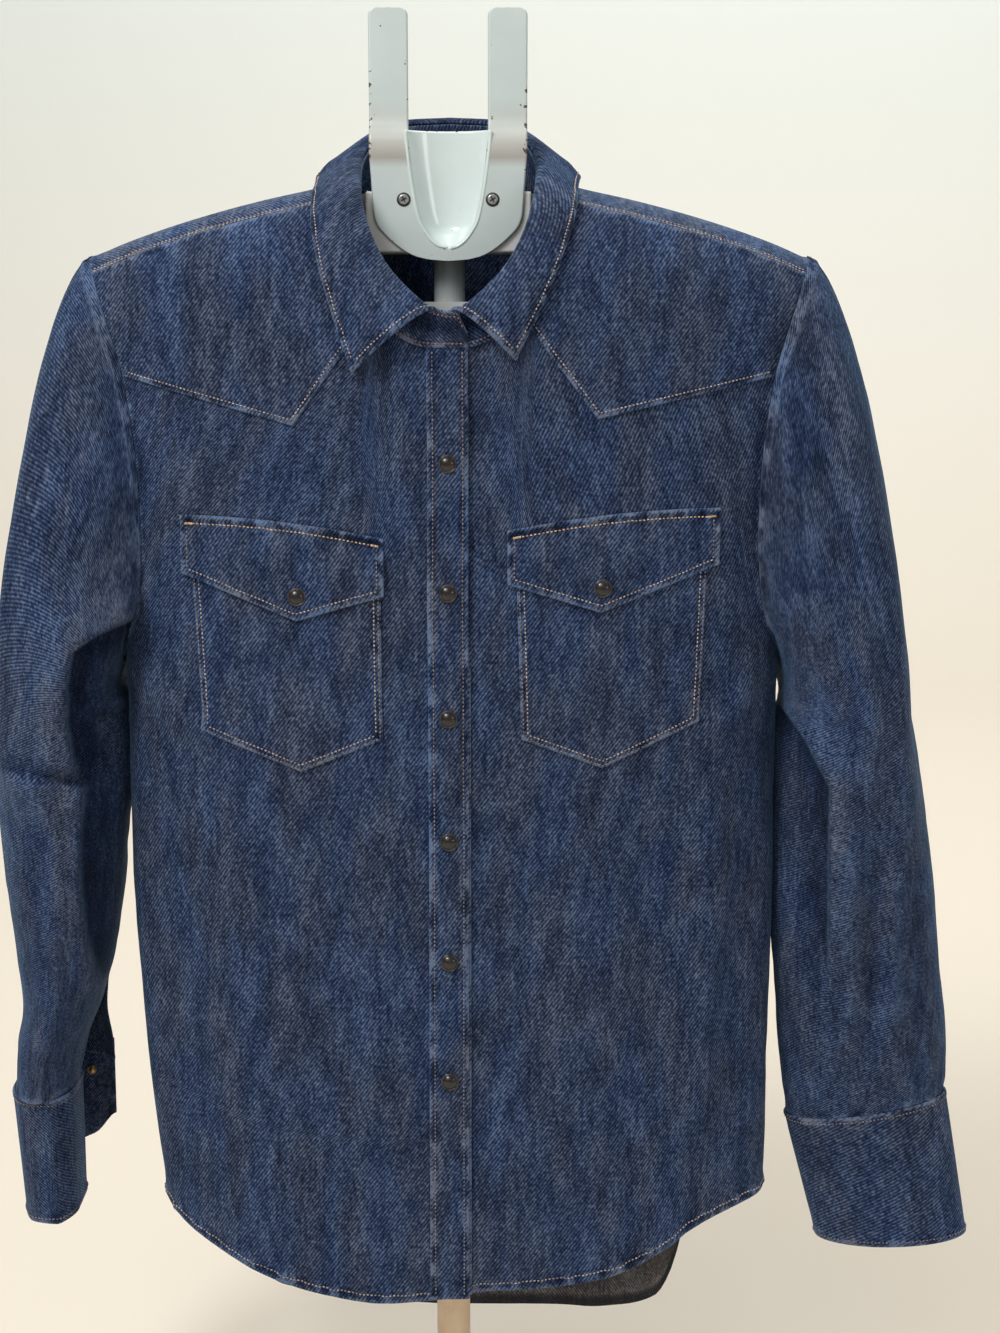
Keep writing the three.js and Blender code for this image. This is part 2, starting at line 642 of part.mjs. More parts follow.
// The armhole edge at a share round it, from the shoulder point by the front to the armpit.
function armholePoint(side, around) {
  const front = around <= 0.5;
  const share = front ? around / 0.5 : (1 - around) / 0.5;
  const top = 779.5;
  const z = top - (top - UNDERARM) * ((1 - Math.cos(Math.PI * share)) / 2);
  return body(front ? -1 : 1, side * reach(z), z);
}
function sleeveSurface(sleeve) {
  const column = Object.fromEntries(
    ['mid', 'half', 'deep', 'fore'].map((name) => [name, reading(sleeve.rings, 'z', name)]),
  );
  const level = (around, z) => {
    const a = around * 2 * Math.PI;
    return new THREE.Vector3(
      sleeve.side * (column.mid(z) + column.half(z) * Math.cos(a)),
      -column.fore(z) - column.deep(z) * Math.sin(a),
      z + sleeve.tilt * Math.cos(a) * (1 - ramp(sleeve.foot, sleeve.foot + 90, z)),
    );
  };
  const folds = SLEEVE_FOLDS.filter((fold) => fold.side === sleeve.side);
  return (u, v) => {
    const around = ((u % 1) + 1) % 1;
    let p;
    if (v < HEAD_SHARE) {
      const t = v / HEAD_SHARE;
      const from = armholePoint(sleeve.side, around);
      from.x += sleeve.side * SEAM * 3;
      const to = level(around, SETTING);
      const drop = from.z - SETTING;
      const top = Math.max(0, Math.cos(2 * Math.PI * around));
      const forward = Math.sin(2 * Math.PI * around);
      const leave = new THREE.Vector3(sleeve.side * (52 + 45 * top), -62 * forward, -0.16 * drop);
      const arrive = new THREE.Vector3(sleeve.side * (4 + 16 * top), -6 * forward, -0.95 * drop);
      p = from
        .multiplyScalar(2 * t ** 3 - 3 * t ** 2 + 1)
        .addScaledVector(leave, t ** 3 - 2 * t ** 2 + t)
        .addScaledVector(to, 3 * t ** 2 - 2 * t ** 3)
        .addScaledVector(arrive, t ** 3 - t ** 2);
    } else {
      p = level(around, mix(SETTING, sleeve.foot, (v - HEAD_SHARE) / (1 - HEAD_SHARE)));
    }
    const away = new THREE.Vector3(
      sleeve.side * Math.cos(around * 2 * Math.PI),
      -Math.sin(around * 2 * Math.PI),
      0,
    );
    for (const fold of folds) {
      const centre = mix(fold.head, fold.foot, clamp((v - fold.from) / (fold.to - fold.from), 0, 1));
      let off = Math.abs(around - centre);
      off = Math.min(off, 1 - off) / fold.half;
      const long = fold.to - fold.from;
      const along =
        ramp(fold.from, fold.from + long * 0.35, v) * (1 - ramp(fold.to - long * 0.35, fold.to, v));
      p.addScaledVector(away, fold.rise * Math.exp(-off * off) * along);
    }
    return p;
  };
}
const SLEEVE_ROWS = [
  ...even(9).map((t) => HEAD_SHARE * t ** 1.15),
  ...even(13).slice(1).map((t) => HEAD_SHARE + (1 - HEAD_SHARE) * t),
];
const surfaces = {};
for (const sleeve of SLEEVES) surfaces[sleeve.side] = sleeveSurface(sleeve);

// The viewer's right sleeve is whole. The other one is unfastened, so below its slit the two
// edges part: the sheet starts and ends at the slit line, which runs up as its seam.
wall('sleeve_left', surfaces[1], { us: ring(25), vs: SLEEVE_ROWS, round: true, away: 1 });
const SLIT = { at: 0.56, top: 0.8, spread: 17 };
wall(
  'sleeve_right',
  (u, v) => {
    const edge = 0.0016;
    const p = surfaces[-1](SLIT.at + mix(edge, 1 - edge, u), v);
    const open = ramp(SLIT.top, 1, v);
    p.x += SLIT.spread * open * (1 - ramp(0.0, 0.14, u));
    p.y += 10 * open * (1 - ramp(0.0, 0.14, u));
    p.x -= 3 * open * ramp(0.9, 1, u);
    return p;
  },
  { us: even(25), vs: SLEEVE_ROWS, away: -1 },
);

// Cuffs
const CUFF_DEEP = 84;
// The fastened cuff: a flat oval band whose end laps over its beginning at the back.
wall(
  'cuff_left',
  (u, v) => {
    const around = 0.66 + mix(0, 1.09, u);
    const a = around * 2 * Math.PI;
    const under = 2.7 * (1 - ramp(0.0, 0.14, u));
    const z = mix(SLEEVES[1].foot - SEAM * 2, SLEEVES[1].foot - CUFF_DEEP - 8, v);
    const lean = 19 * v;
    return new THREE.Vector3(
      267.5 + lean + (mix(51.5, 48.5, v) - under) * Math.cos(a),
      -8 - 3 * v - (mix(27, 24, v) - under) * Math.sin(a),
      z + SLEEVES[1].tilt * Math.cos(a) * (1 - v * 0.8),
    );
  },
  { us: even(30), vs: even(4), away: 1, lift: () => 0.6 },
);
// The open cuff: it folds round behind on the inner side, and its free end stands out.
const OPEN_CUFF = [
  { share: 0, x: -250, y: 20 },
  { share: 0.12, x: -241, y: 0 },
  { share: 0.24, x: -240.5, y: -28 },
  { share: 0.36, x: -252, y: -50 },
  { share: 0.48, x: -270, y: -46 },
  { share: 0.6, x: -280.5, y: -22 },
  { share: 0.72, x: -281, y: 8 },
  { share: 0.84, x: -273, y: 37 },
  { share: 0.93, x: -254, y: 53 },
  { share: 1, x: -232, y: 58 },
];
const openCuff = { x: reading(OPEN_CUFF, 'share', 'x'), y: reading(OPEN_CUFF, 'share', 'y') };
wall(
  'cuff_right',
  (u, v) => {
    const high = SLEEVES[0].foot - SEAM * 2 - 7 + 9 * ramp(0.55, 1, u);
    return new THREE.Vector3(
      openCuff.x(u) + 6 * v * ramp(0.2, 0.6, u) * (1 - ramp(0.8, 1, u)),
      openCuff.y(u),
      high - (CUFF_DEEP - 3) * v + 16 * v * ramp(0.75, 1, u),
    );
  },
  { us: even(26), vs: even(3), away: 1 },
);

// Snaps: a domed cap in a metal rim, seated on what it fastens
const CAP = { radius: 5.4, rim: 1.1, dome: 2.3 };
const capProfile = [
  new THREE.Vector2(0, 0),
  new THREE.Vector2(CAP.radius - 0.5, 0),
  new THREE.Vector2(CAP.radius, 0.6),
  new THREE.Vector2(CAP.radius - 0.6, CAP.rim + 0.4),
  new THREE.Vector2(CAP.radius - 1.5, CAP.rim),
  new THREE.Vector2(CAP.radius * 0.4, CAP.dome - 0.2),
  new THREE.Vector2(0, CAP.dome),
];
function snap(name, surface, u, v, away, lift) {
  const cap = add(name, new THREE.LatheGeometry(capProfile, 14), SNAP);
  const n = normalOf(surface, u, v, away);
  cap.quaternion.setFromUnitVectors(new THREE.Vector3(0, 1, 0), n);
  cap.position.copy(surface(u, v).addScaledVector(n, lift));
  return cap;
}
const chest = (u, v) => panel(-1, u * 200, v * 800);
const onFront = (name, x, z, lift) => snap(name, chest, x / 200, z / 800, 1, lift);
const FRONT_SNAPS = [658, 582.5, 507.5, 432.5, 357.5, 282.5];
const ON_PLACKET = EASE + PLY + SEAM;
FRONT_SNAPS.forEach((z, i) => onFront(`snap_front_${i + 1}`, 0.5, z, ON_PLACKET));
onFront('snap_flap_right', -88, 580, EASE + PLY + FLAP_OVER + SEAM);
onFront('snap_flap_left', 91, 585, EASE + PLY + FLAP_OVER + SEAM);
const standFace = (u, v) => standPoint(-180 + u * 8, v);
snap('snap_collar', standFace, 0, 0.42, -1, SEAM + 0.2);
const leftCuff = (u, v) => {
  const a = (0.715 + u * 0.02) * 2 * Math.PI;
  return new THREE.Vector3(
    267.5 + 19 * v + mix(51.5, 48.5, v) * Math.cos(a),
    -8 - 3 * v - mix(27, 24, v) * Math.sin(a),
    mix(243.4, 152, v),
  );
};
snap('snap_cuff_left_1', leftCuff, 0, 0.3, 1, 1.6);
snap('snap_cuff_left_2', leftCuff, 0, 0.72, 1, 1.6);

// Hanger: shoulder arms, pole, and the bracket with two prongs and a cradle
const POLE = { radius: 9.5, foot: 11, lowTop: 205, top: 781, y: 10 };
const cylinder = (radius, from, to, sides = 28) => {
  const shape = new THREE.CylinderGeometry(radius, radius, to - from, sides);
  shape.rotateX(Math.PI / 2);
  shape.translate(0, 0, (from + to) / 2);
  return shape;
};
add('pole_foot', cylinder(POLE.foot, 0, POLE.lowTop), WOOD).position.set(0, POLE.y, 0);
add('pole', cylinder(POLE.radius, POLE.lowTop + 0.02, POLE.top - 0.02), TUBE).position.set(0, POLE.y, 0);

// The two arms that fill the shoulders, either side of the block in the middle.
const BLOCK = { half: 50, top: 817, low: POLE.top, front: -13, back: 18 };

const ARM = { tip: 196, deep: 18, thin: 11, under: CLOTH + 1.3, round: 6 };
for (const side of [-1, 1]) {
  const upper = [];
  const lower = [];
  for (const t of even(9)) {
    const x = mix(BLOCK.half + 0.02, ARM.tip, t);
    const z = Math.min(shoulderAt(x) - ARM.under, BLOCK.top - 1);
    const tip = ARM.round * ramp(0.86, 1, t);
    upper.push(new THREE.Vector2(side * x, z - tip));
    lower.push(new THREE.Vector2(side * x, z - ARM.deep + tip));
  }
  const arm = new THREE.ExtrudeGeometry(
    new THREE.Shape([...upper, ...lower.reverse()]),
    { depth: ARM.thin, bevelEnabled: false },
  );
  arm.rotateX(Math.PI / 2);
  arm.translate(0, ARM.thin / 2, 0);
  add(side < 0 ? 'hanger_arm_right' : 'hanger_arm_left', arm, PAINT);
}

// The clip round the pole below the neck opening.
const CLIP = { z: 745, tall: 14, half: 21, deep: 13 };
const solid = (geometry) => {
  const flat = geometry.index ? geometry.toNonIndexed() : geometry;
  const at = flat.attributes.position;
  const known = new Map();
  const points = [];
  const corners = [];
  for (let i = 0; i < at.count; i += 1) {
    const key = [at.getX(i), at.getY(i), at.getZ(i)].map((v) => Math.round(v * 1e4)).join();
    if (!known.has(key)) {
      known.set(key, points.length / 3);
      points.push(at.getX(i), at.getY(i), at.getZ(i));
    }
    corners.push(known.get(key));
  }
  const kept = [];
  for (let i = 0; i < corners.length; i += 3) {
    const [a, b, c] = corners.slice(i, i + 3);
    if (a !== b && b !== c && c !== a) kept.push(a, b, c);
  }
  return new wasm.Manifold(
    new wasm.Mesh({
      numProp: 3,
      vertProperties: new Float32Array(points),
      triVerts: new Uint32Array(kept),
    }),
  );
};
const toGeometry = (shape) => {
  const mesh = shape.getMesh();
  const geometry = new THREE.BufferGeometry();
  const points = [];
  for (let i = 0; i < mesh.numVert; i += 1) {
    points.push(...mesh.vertProperties.slice(i * mesh.numProp, i * mesh.numProp + 3));
  }
  geometry.setAttribute('position', new THREE.Float32BufferAttribute(points, 3));
  geometry.setIndex(Array.from(mesh.triVerts));
  const flat = geometry.toNonIndexed();
  flat.computeVertexNormals();
  return flat;
};
const clipBox = new THREE.BoxGeometry(2 * CLIP.half, 2 * CLIP.deep, CLIP.tall);
clipBox.translate(0, POLE.y, CLIP.z);
const clipHole = cylinder(POLE.radius + 0.25, CLIP.z - 20, CLIP.z + 20);
clipHole.translate(0, POLE.y, 0);
add('pole_clip', toGeometry(solid(clipBox).subtract(solid(clipHole))), PAINT);

// The sheet-metal bracket: plate, prongs jogged forward, and the pressed cradle between them.
const SHEET = 2;
const PLATE_Y = BLOCK.front - 0.3; // back face of the plate
const plateShape = new THREE.Shape();
plateShape.moveTo(-48, 842);
plateShape.lineTo(-46, 812);
plateShape.quadraticCurveTo(-43, 797, -34, 788);
plateShape.quadraticCurveTo(-18, 776, 0, 775);
plateShape.quadraticCurveTo(18, 776, 34, 788);
plateShape.quadraticCurveTo(43, 797, 46, 812);
plateShape.lineTo(48, 842);
plateShape.lineTo(-48, 842);
const flatPlate = new THREE.ExtrudeGeometry(plateShape, {
  depth: SHEET,
  bevelEnabled: false,
  curveSegments: 6,
});
flatPlate.rotateX(Math.PI / 2);
flatPlate.translate(0, PLATE_Y, 0);
const PRONG = { wide: 22, from: 838, top: 926, jog: 7, inX: 23.5 };
function prong(side) {
  const profile = new THREE.Shape();
  const line = [
    { y: 0, z: PRONG.from },
    { y: 0, z: 844 },
    { y: 1.5, z: 849 },
    { y: PRONG.jog - 1, z: 857 },
    { y: PRONG.jog, z: 862 },
    { y: PRONG.jog, z: PRONG.top },
  ];
  line.forEach((row, i) => (i ? profile.lineTo(row.y, row.z) : profile.moveTo(row.y, row.z)));
  [...line].reverse().forEach((row) => profile.lineTo(row.y - SHEET, row.z));
  const strip = new THREE.ExtrudeGeometry(profile, { depth: PRONG.wide, bevelEnabled: false });
  // shape plane (y, z) and depth along x
  strip.applyMatrix4(new THREE.Matrix4().set(0, 0, 1, 0, 1, 0, 0, 0, 0, 1, 0, 0, 0, 0, 0, 1));
  strip.translate(side < 0 ? -PRONG.inX - PRONG.wide - 1 : PRONG.inX, PLATE_Y, 0);
  return strip;
}
// The cradle is half of a funnel, open at the front and the top, pressed back out of the plate.
const CRADLE = { topZ: 853, footZ: 787, topR: 25, footR: 7.5 };
function halfFunnel(grow, high) {
  const points = [];
  const faces = [];
  const turns = 14;
  const levels = high ? 9 : 6;
  for (let j = 0; j <= levels; j += 1) {
    const z = mix(CRADLE.footZ - grow, CRADLE.topZ + high, j / levels);
    const t = clamp((z - CRADLE.footZ) / (CRADLE.topZ - CRADLE.footZ), 0, 1);
    const radius = mix(CRADLE.footR, CRADLE.topR, t ** 0.8) + grow;
    const deep = (radius - grow) * mix(0.35, 0.92, t ** 0.7) + grow;
    for (let i = 0; i <= turns; i += 1) {
      const a = (Math.PI * i) / turns;
      points.push(new THREE.Vector3(-radius * Math.cos(a), -SHEET - 4 + (deep + 4) * Math.sin(a), z));
    }
  }
  const count = turns + 1;
  for (let j = 0; j < levels; j += 1) {
    for (let i = 0; i < turns; i += 1) {
      const a = j * count + i;
      faces.push([a, a + 1, a + count + 1], [a, a + count + 1, a + count]);
    }
    const a = j * count;
    faces.push([a + turns, a, a + count], [a + turns, a + count, a + count + turns]);
  }
  for (let i = 1; i < turns; i += 1) {
    faces.push([0, i + 1, i], [levels * count, levels * count + i, levels * count + i + 1]);
  }
  const geometry = facets(points, faces);
  geometry.translate(0, PLATE_Y, 0);
  return geometry;
}
const front = new THREE.BoxGeometry(200, 60, 200);
front.translate(0, PLATE_Y - SHEET - 30, 830);
const cradle = solid(halfFunnel(SHEET * 0.8, 0)).subtract(solid(front));
const bracket = solid(flatPlate)
  .add(solid(prong(-1)))
  .add(solid(prong(1)))
  .add(cradle)
  .subtract(solid(halfFunnel(0, 30)));
add('bracket', toGeometry(bracket), PAINT);

// The block that the bracket is screwed to, with a recess for the cradle that is pressed back.
const blockBox = new THREE.BoxGeometry(2 * BLOCK.half, BLOCK.back - BLOCK.front, BLOCK.top - BLOCK.low);
blockBox.translate(0, (BLOCK.back + BLOCK.front) / 2, (BLOCK.top + BLOCK.low) / 2);
add('hanger_block', toGeometry(solid(blockBox).subtract(solid(halfFunnel(SHEET * 0.8 + 0.5, 30)))), PAINT);

// Two cross-head screws hold the bracket on the block.
const SCREW = { out: 26.6, z: 812 };
for (const side of [-1, 1]) {
  const head = new THREE.LatheGeometry(
    [
      new THREE.Vector2(0, 0),
      new THREE.Vector2(5.3, 0),
      new THREE.Vector2(5.1, 1),
      new THREE.Vector2(3.6, 2.1),
      new THREE.Vector2(0, 2.7),
    ],
    20,
  );
  const slots = [0, Math.PI / 2].map((turn) => {
    const slot = new THREE.BoxGeometry(4.6, 3, 1.1);
    slot.translate(0, 2.9, 0);
    slot.rotateY(turn + 0.5);
    return solid(slot);
  });
  const screw = toGeometry(solid(head).subtract(slots[0]).subtract(slots[1]));
  screw.rotateX(Math.PI);
  const screwName = side < 0 ? 'screw_right' : 'screw_left';
  add(screwName, screw, STEEL).position.set(side * SCREW.out, PLATE_Y - SHEET - 0.02, SCREW.z);
}

export default object;
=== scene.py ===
import math

import bpy
import numpy as np
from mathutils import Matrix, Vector


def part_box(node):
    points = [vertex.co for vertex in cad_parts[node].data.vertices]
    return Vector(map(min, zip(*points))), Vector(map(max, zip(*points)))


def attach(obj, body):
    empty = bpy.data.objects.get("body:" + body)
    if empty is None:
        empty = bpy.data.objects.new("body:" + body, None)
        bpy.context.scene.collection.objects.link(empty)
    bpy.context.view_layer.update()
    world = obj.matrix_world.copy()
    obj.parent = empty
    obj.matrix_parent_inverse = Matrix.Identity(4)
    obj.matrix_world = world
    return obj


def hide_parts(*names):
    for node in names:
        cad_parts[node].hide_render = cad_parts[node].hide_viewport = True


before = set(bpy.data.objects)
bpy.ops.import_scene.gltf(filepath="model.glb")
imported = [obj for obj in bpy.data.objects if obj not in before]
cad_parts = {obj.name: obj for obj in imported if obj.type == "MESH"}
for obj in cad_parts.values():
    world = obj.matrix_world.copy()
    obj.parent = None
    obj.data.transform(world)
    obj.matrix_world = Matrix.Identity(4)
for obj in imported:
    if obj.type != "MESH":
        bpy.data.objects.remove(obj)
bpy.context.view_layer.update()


# The room: a plain pale floor that turns up into a cream wall well behind the shirt, a wide
# soft light up at the left, a weaker one at the right, and the camera.
WALL = (0.87, 0.925, 0.905)
FLOOR = (0.85, 0.775, 0.665)
ROOM = {"half": 6.0, "near": -4.0, "far": 4.2, "turn": 1.4, "tall": 4.5}


def plain(name, colour, roughness=0.6):
    material = bpy.data.materials.new(name)
    material.use_nodes = True
    shader = material.node_tree.nodes["Principled BSDF"]
    shader.inputs["Base Color"].default_value = (*colour, 1)
    shader.inputs["Roughness"].default_value = roughness
    return material


def hang_backdrop():
    bend = ROOM["far"] - ROOM["turn"]
    profile = [(ROOM["near"], 0.0), (bend, 0.0)]
    for i in range(1, 17):
        a = math.pi / 2 * i / 16
        profile.append((bend + ROOM["turn"] * math.sin(a), ROOM["turn"] * (1 - math.cos(a))))
    profile.append((ROOM["far"], ROOM["tall"]))
    points = [(x, y, z) for y, z in profile for x in (-ROOM["half"], ROOM["half"])]
    faces = [(2 * i, 2 * i + 1, 2 * i + 3, 2 * i + 2) for i in range(len(profile) - 1)]
    mesh = bpy.data.meshes.new("floor_and_wall")
    mesh.from_pydata(points, [], faces)
    mesh.shade_smooth()
    floor = bpy.data.objects.new("floor_and_wall", mesh)
    bpy.context.collection.objects.link(floor)
    paint = plain("wall_paint", WALL, 0.9)
    tree = paint.node_tree
    place = tree.nodes.new("ShaderNodeTexCoord")
    height = tree.nodes.new("ShaderNodeSeparateXYZ")
    blend = tree.nodes.new("ShaderNodeMapRange")
    blend.inputs["From Max"].default_value = 1.6
    tint = tree.nodes.new("ShaderNodeMix")
    tint.data_type = "RGBA"
    tint.inputs["A"].default_value, tint.inputs["B"].default_value = (*FLOOR, 1), (*WALL, 1)
    tree.links.new(place.outputs["Object"], height.inputs["Vector"])
    tree.links.new(height.outputs["Z"], blend.inputs["Value"])
    tree.links.new(blend.outputs["Result"], tint.inputs["Factor"])
    tree.links.new(tint.outputs["Result"], tree.nodes["Principled BSDF"].inputs["Base Color"])
    floor.data.materials.append(paint)


hang_backdrop()

world = bpy.data.worlds.new("room_air")
world.use_nodes = True
world.node_tree.nodes["Background"].inputs["Color"].default_value = (1.0, 0.985, 0.955, 1)
world.node_tree.nodes["Background"].inputs["Strength"].default_value = 0.36
bpy.context.scene.world = world
bpy.context.scene.view_settings.view_transform = "Standard"

LAMPS = [
    # name, place, what it points at, size in metres, power, colour
    ("window_light", (-1.05, -1.15, 2.1), (0.0, 0.0, 0.6), 0.7, 25, (1.0, 0.985, 0.95)),
    ("room_light", (1.9, -1.9, 1.1), (0.1, 0.0, 0.5), 0.5, 4.5, (0.95, 0.97, 1.0)),
    ("wall_light", (0.8, 1.0, 3.4), (0.6, 3.0, 0.3), 2.6, 70, (1.0, 0.985, 0.955)),
]
for lamp_name, place, target, size, power, colour in LAMPS:
    lamp = bpy.data.lights.new(lamp_name, "AREA")
    lamp.energy, lamp.color, lamp.size = power, colour, size
    holder = bpy.data.objects.new(lamp_name, lamp)
    holder.location = place
    holder.rotation_euler = (Vector(place) - Vector(target)).to_track_quat("Z", "Y").to_euler()
    bpy.context.collection.objects.link(holder)

# Broad daylight that reaches the wall and the shirt alike.
day = bpy.data.lights.new("day_light", "SUN")
day.energy, day.angle = 0.5, math.radians(40)
day_holder = bpy.data.objects.new("day_light", day)
day_holder.rotation_euler = Vector((-0.5, -1.0, 0.9)).to_track_quat("Z", "Y").to_euler()
bpy.context.collection.objects.link(day_holder)

lens = bpy.data.cameras.new("camera")
lens.sensor_fit, lens.sensor_height, lens.lens = "VERTICAL", 24.0, 36.0
camera = bpy.data.objects.new("camera", lens)
camera.location = (0.031, -1.241, 0.735)
camera.rotation_euler = (math.radians(80.45), 0, 0)
bpy.context.collection.objects.link(camera)
bpy.context.scene.camera = camera


# The fronts: two panels of 11 oz indigo denim cut from shoulder to shirt-tail, the wearer's
# right one lapped over the left, their hems turned up twice and stitched.
# Every size is in millimetres until a mesh is made.
SQUARENESS = 2.4  # exponent of the body's plan section, 2 is an ellipse
UNDERARM = 536
NECK_HALF, NECK_FRONT, NECK_BACK = 64, 727, 45
YOKE_DROP, SEAM = 12, 0.3
LAP, LAP_SHARE = 12.5, 0.024


def clamp(v, low=0.0, high=1.0):
    return np.minimum(high, np.maximum(low, v))


def mix(a, b, t):
    return a + (b - a) * t


def ramp(a, b, v):
    t = clamp((v - a) / (b - a))
    return t * t * (3 - 2 * t)


def reading(at, value):
    """A smooth curve through rows of a table, straight past both ends."""
    at, value = np.array(at, float), np.array(value, float)
    step = np.diff(value) / np.diff(at)
    slope = np.empty(len(at))
    slope[0], slope[-1] = step[0], step[-1]
    for i in range(1, len(at) - 1):
        a, b = step[i - 1], step[i]
        slope[i] = 0 if a * b <= 0 else 2 * a * b / (a + b)

    def read(v):
        v = np.asarray(v, float)
        i = np.clip(np.searchsorted(at, v, side="left") - 1, 0, len(at) - 2)
        w = at[i + 1] - at[i]
        t = (v - at[i]) / w
        curve = (
            (2 * t**3 - 3 * t**2 + 1) * value[i]
            + (t**3 - 2 * t**2 + t) * w * slope[i]
            + (3 * t**2 - 2 * t**3) * value[i + 1]
            + (t**3 - t**2) * w * slope[i + 1]
        )
        curve = np.where(v <= at[0], value[0] + slope[0] * (v - at[0]), curve)
        return np.where(v >= at[-1], value[-1] + slope[-1] * (v - at[-1]), curve)

    return read


def columns(names, rows):
    """The smooth curves of a table whose first column is the one that they are read by."""
    keys = names.split()
    by = [row[0] for row in rows]
    return {key: reading(by, [row[i] for row in rows]) for i, key in enumerate(keys) if i}


BODY = columns(
    "z left right front back",
    [
        (40, 182, 201, 82, 82),
        (140, 183, 202, 82, 82),
        (300, 196, 203, 77, 82),
        (400, 201, 204, 75, 80),
        (536, 203, 205, 75, 78),
        (640, 208, 209, 73, 76),
        (700, 215, 216, 69, 73),
        (778, 232, 233, 62, 66),
        (830, 240, 241, 58, 60),
    ],
)
shoulder = columns(
    "out z",
    [(0, 836), (40, 829), (80, 819), (112, 812), (150, 802), (190, 789), (217, 778), (240, 768)],
)["z"]
SHOULDER_ROUND = 60
armhole_turn = columns(
    "z turn",
    [
        (536, 90), (540, 81), (548, 74.5), (562, 68), (582, 64), (614, 61.5),
        (663, 60.8), (710, 61.2), (738, 63), (760, 65), (780, 67.2),
    ],
)["turn"]
BODY_FOLDS = [
    # face, turn, from, to, half width in degrees, rise
    (-1, -72, 190, 520, 9, 4),
    (-1, 71, 190, 500, 9, 4),
    (-1, -30, 150, 420, 12, 2.5),
    (-1, 33, 150, 430, 12, 2.5),
    (1, -62, 80, 560, 10, 6),
    (1, -22, 60, 600, 11, 5),
    (1, 18, 60, 600, 11, 5),
    (1, 60, 80, 560, 10, 6),
]


def reach(z):
    """How far round from the centre the panels go, in degrees."""
    return np.where(z <= UNDERARM, 90.0, armhole_turn(np.minimum(z, 784)))


def over(x, z):
    h = clamp(shoulder(abs(x)) - z, 0, SHOULDER_ROUND) / SHOULDER_ROUND
    return np.sqrt(1 - (1 - h) ** 2)


def body(face, turn, z):
    """Points of the hanging shirt's outer face, by the turn from its centre and the height."""
    face, turn, z = np.broadcast_arrays(np.asarray(face, float), turn, z)
    angle = np.radians(turn)
    sine, cosine = np.sin(angle), abs(np.cos(angle))
    half = np.where(turn < 0, BODY["left"](z), BODY["right"](z))
    deep = np.where(face < 0, BODY["front"](z), BODY["back"](z))
    x = half * np.sign(sine) * abs(sine) ** (2 / SQUARENESS)
    out = 0
    for side, at, low, high, wide, rise in BODY_FOLDS:
        tall = ramp(low - 60, low + 40, z) * (1 - ramp(high - 140, high, z))
        out = out + (face == side) * rise * np.exp(-(((turn - at) / wide) ** 2)) * tall
    y = (deep * cosine ** (2 / SQUARENESS) + out * cosine) * over(x, z)
    return np.stack([x + out * sine, face * y, z + 0 * x], -1)


def turn_of(x, z):
    half = np.where(x < 0, BODY["left"](z), BODY["right"](z))
    return np.sign(x) * np.degrees(np.arcsin(clamp(abs(x) / half) ** (SQUARENESS / 2)))


rng = np.random.default_rng(11)
LATTICE = rng.random((97, 97)) * 2 - 1


def mottle(a, b, shift=0):
    """Smooth noise from -1 to 1, with one bump about every unit."""
    a, b = np.broadcast_arrays(np.asarray(a, float) + 13.7 * shift, np.asarray(b, float) + 7.3 * shift)
    i, j = np.floor(a).astype(int), np.floor(b).astype(int)
    s, t = a - i, b - j
    s, t = s * s * (3 - 2 * s), t * t * (3 - 2 * t)
    at = lambda p, q: LATTICE[p % 97, q % 97]
    low = mix(at(i, j), at(i + 1, j), s)
    high = mix(at(i, j + 1), at(i + 1, j + 1), s)
    return mix(low, high, t)


def creased(a, b, table):
    """The rise of soft ridges and troughs: rows of points on a line, half width and rise."""
    total = np.zeros(np.broadcast(a, b).shape)
    for line, half, rise in table:
        line = np.array(line, float)
        long = np.linalg.norm(np.diff(line, axis=0), axis=1)
        ends = np.concatenate([[0], np.cumsum(long)])
        near, along = np.full(total.shape, 1e9), np.zeros(total.shape)
        for (p, q), start, size in zip(zip(line[:-1], line[1:]), ends, long):
            t = clamp(((a - p[0]) * (q[0] - p[0]) + (b - p[1]) * (q[1] - p[1])) / size**2)
            d = np.hypot(a - mix(p[0], q[0], t), b - mix(p[1], q[1], t))
            along = np.where(d < near, start + t * size, along)
            near = np.minimum(near, d)
        share = along / ends[-1]
        taper = ramp(-0.02, 0.3, share) * (1 - ramp(0.7, 1.02, share))
        total += rise * np.exp(-((near / half) ** 2)) * (0.25 + 0.75 * taper)
    return total


def stepped(a, b, table):
    """Folds that hang over: rows of points on a line, how far each side fades, and the rise.

    The side to the left of the line's direction stands up, and the other lies lower.
    """
    total = np.zeros(np.broadcast(a, b).shape)
    for line, high_fade, low_fade, rise in table:
        line = np.array(line, float)
        near, signed = np.full(total.shape, 1e9), np.zeros(total.shape)
        share = np.zeros(total.shape)
        for k, (p, q) in enumerate(zip(line[:-1], line[1:])):
            size = np.hypot(*(q - p))
            t = clamp(((a - p[0]) * (q[0] - p[0]) + (b - p[1]) * (q[1] - p[1])) / size**2)
            d = np.hypot(a - mix(p[0], q[0], t), b - mix(p[1], q[1], t))
            way = np.sign((q[0] - p[0]) * (b - p[1]) - (q[1] - p[1]) * (a - p[0]))
            closer = d < near
            signed, share = np.where(closer, way * d, signed), np.where(closer, (k + t) / (len(line) - 1), share)
            near = np.where(closer, d, near)
        ends = ramp(0, 0.12, share) * (1 - ramp(0.8, 1, share))
        high, low = np.exp(-((signed / high_fade) ** 2)), -0.8 * np.exp(-((signed / low_fade) ** 2))
        total += rise * (0.15 + 0.85 * ends) * mix(low, high, ramp(-2.6, 1.6, signed))
    return total


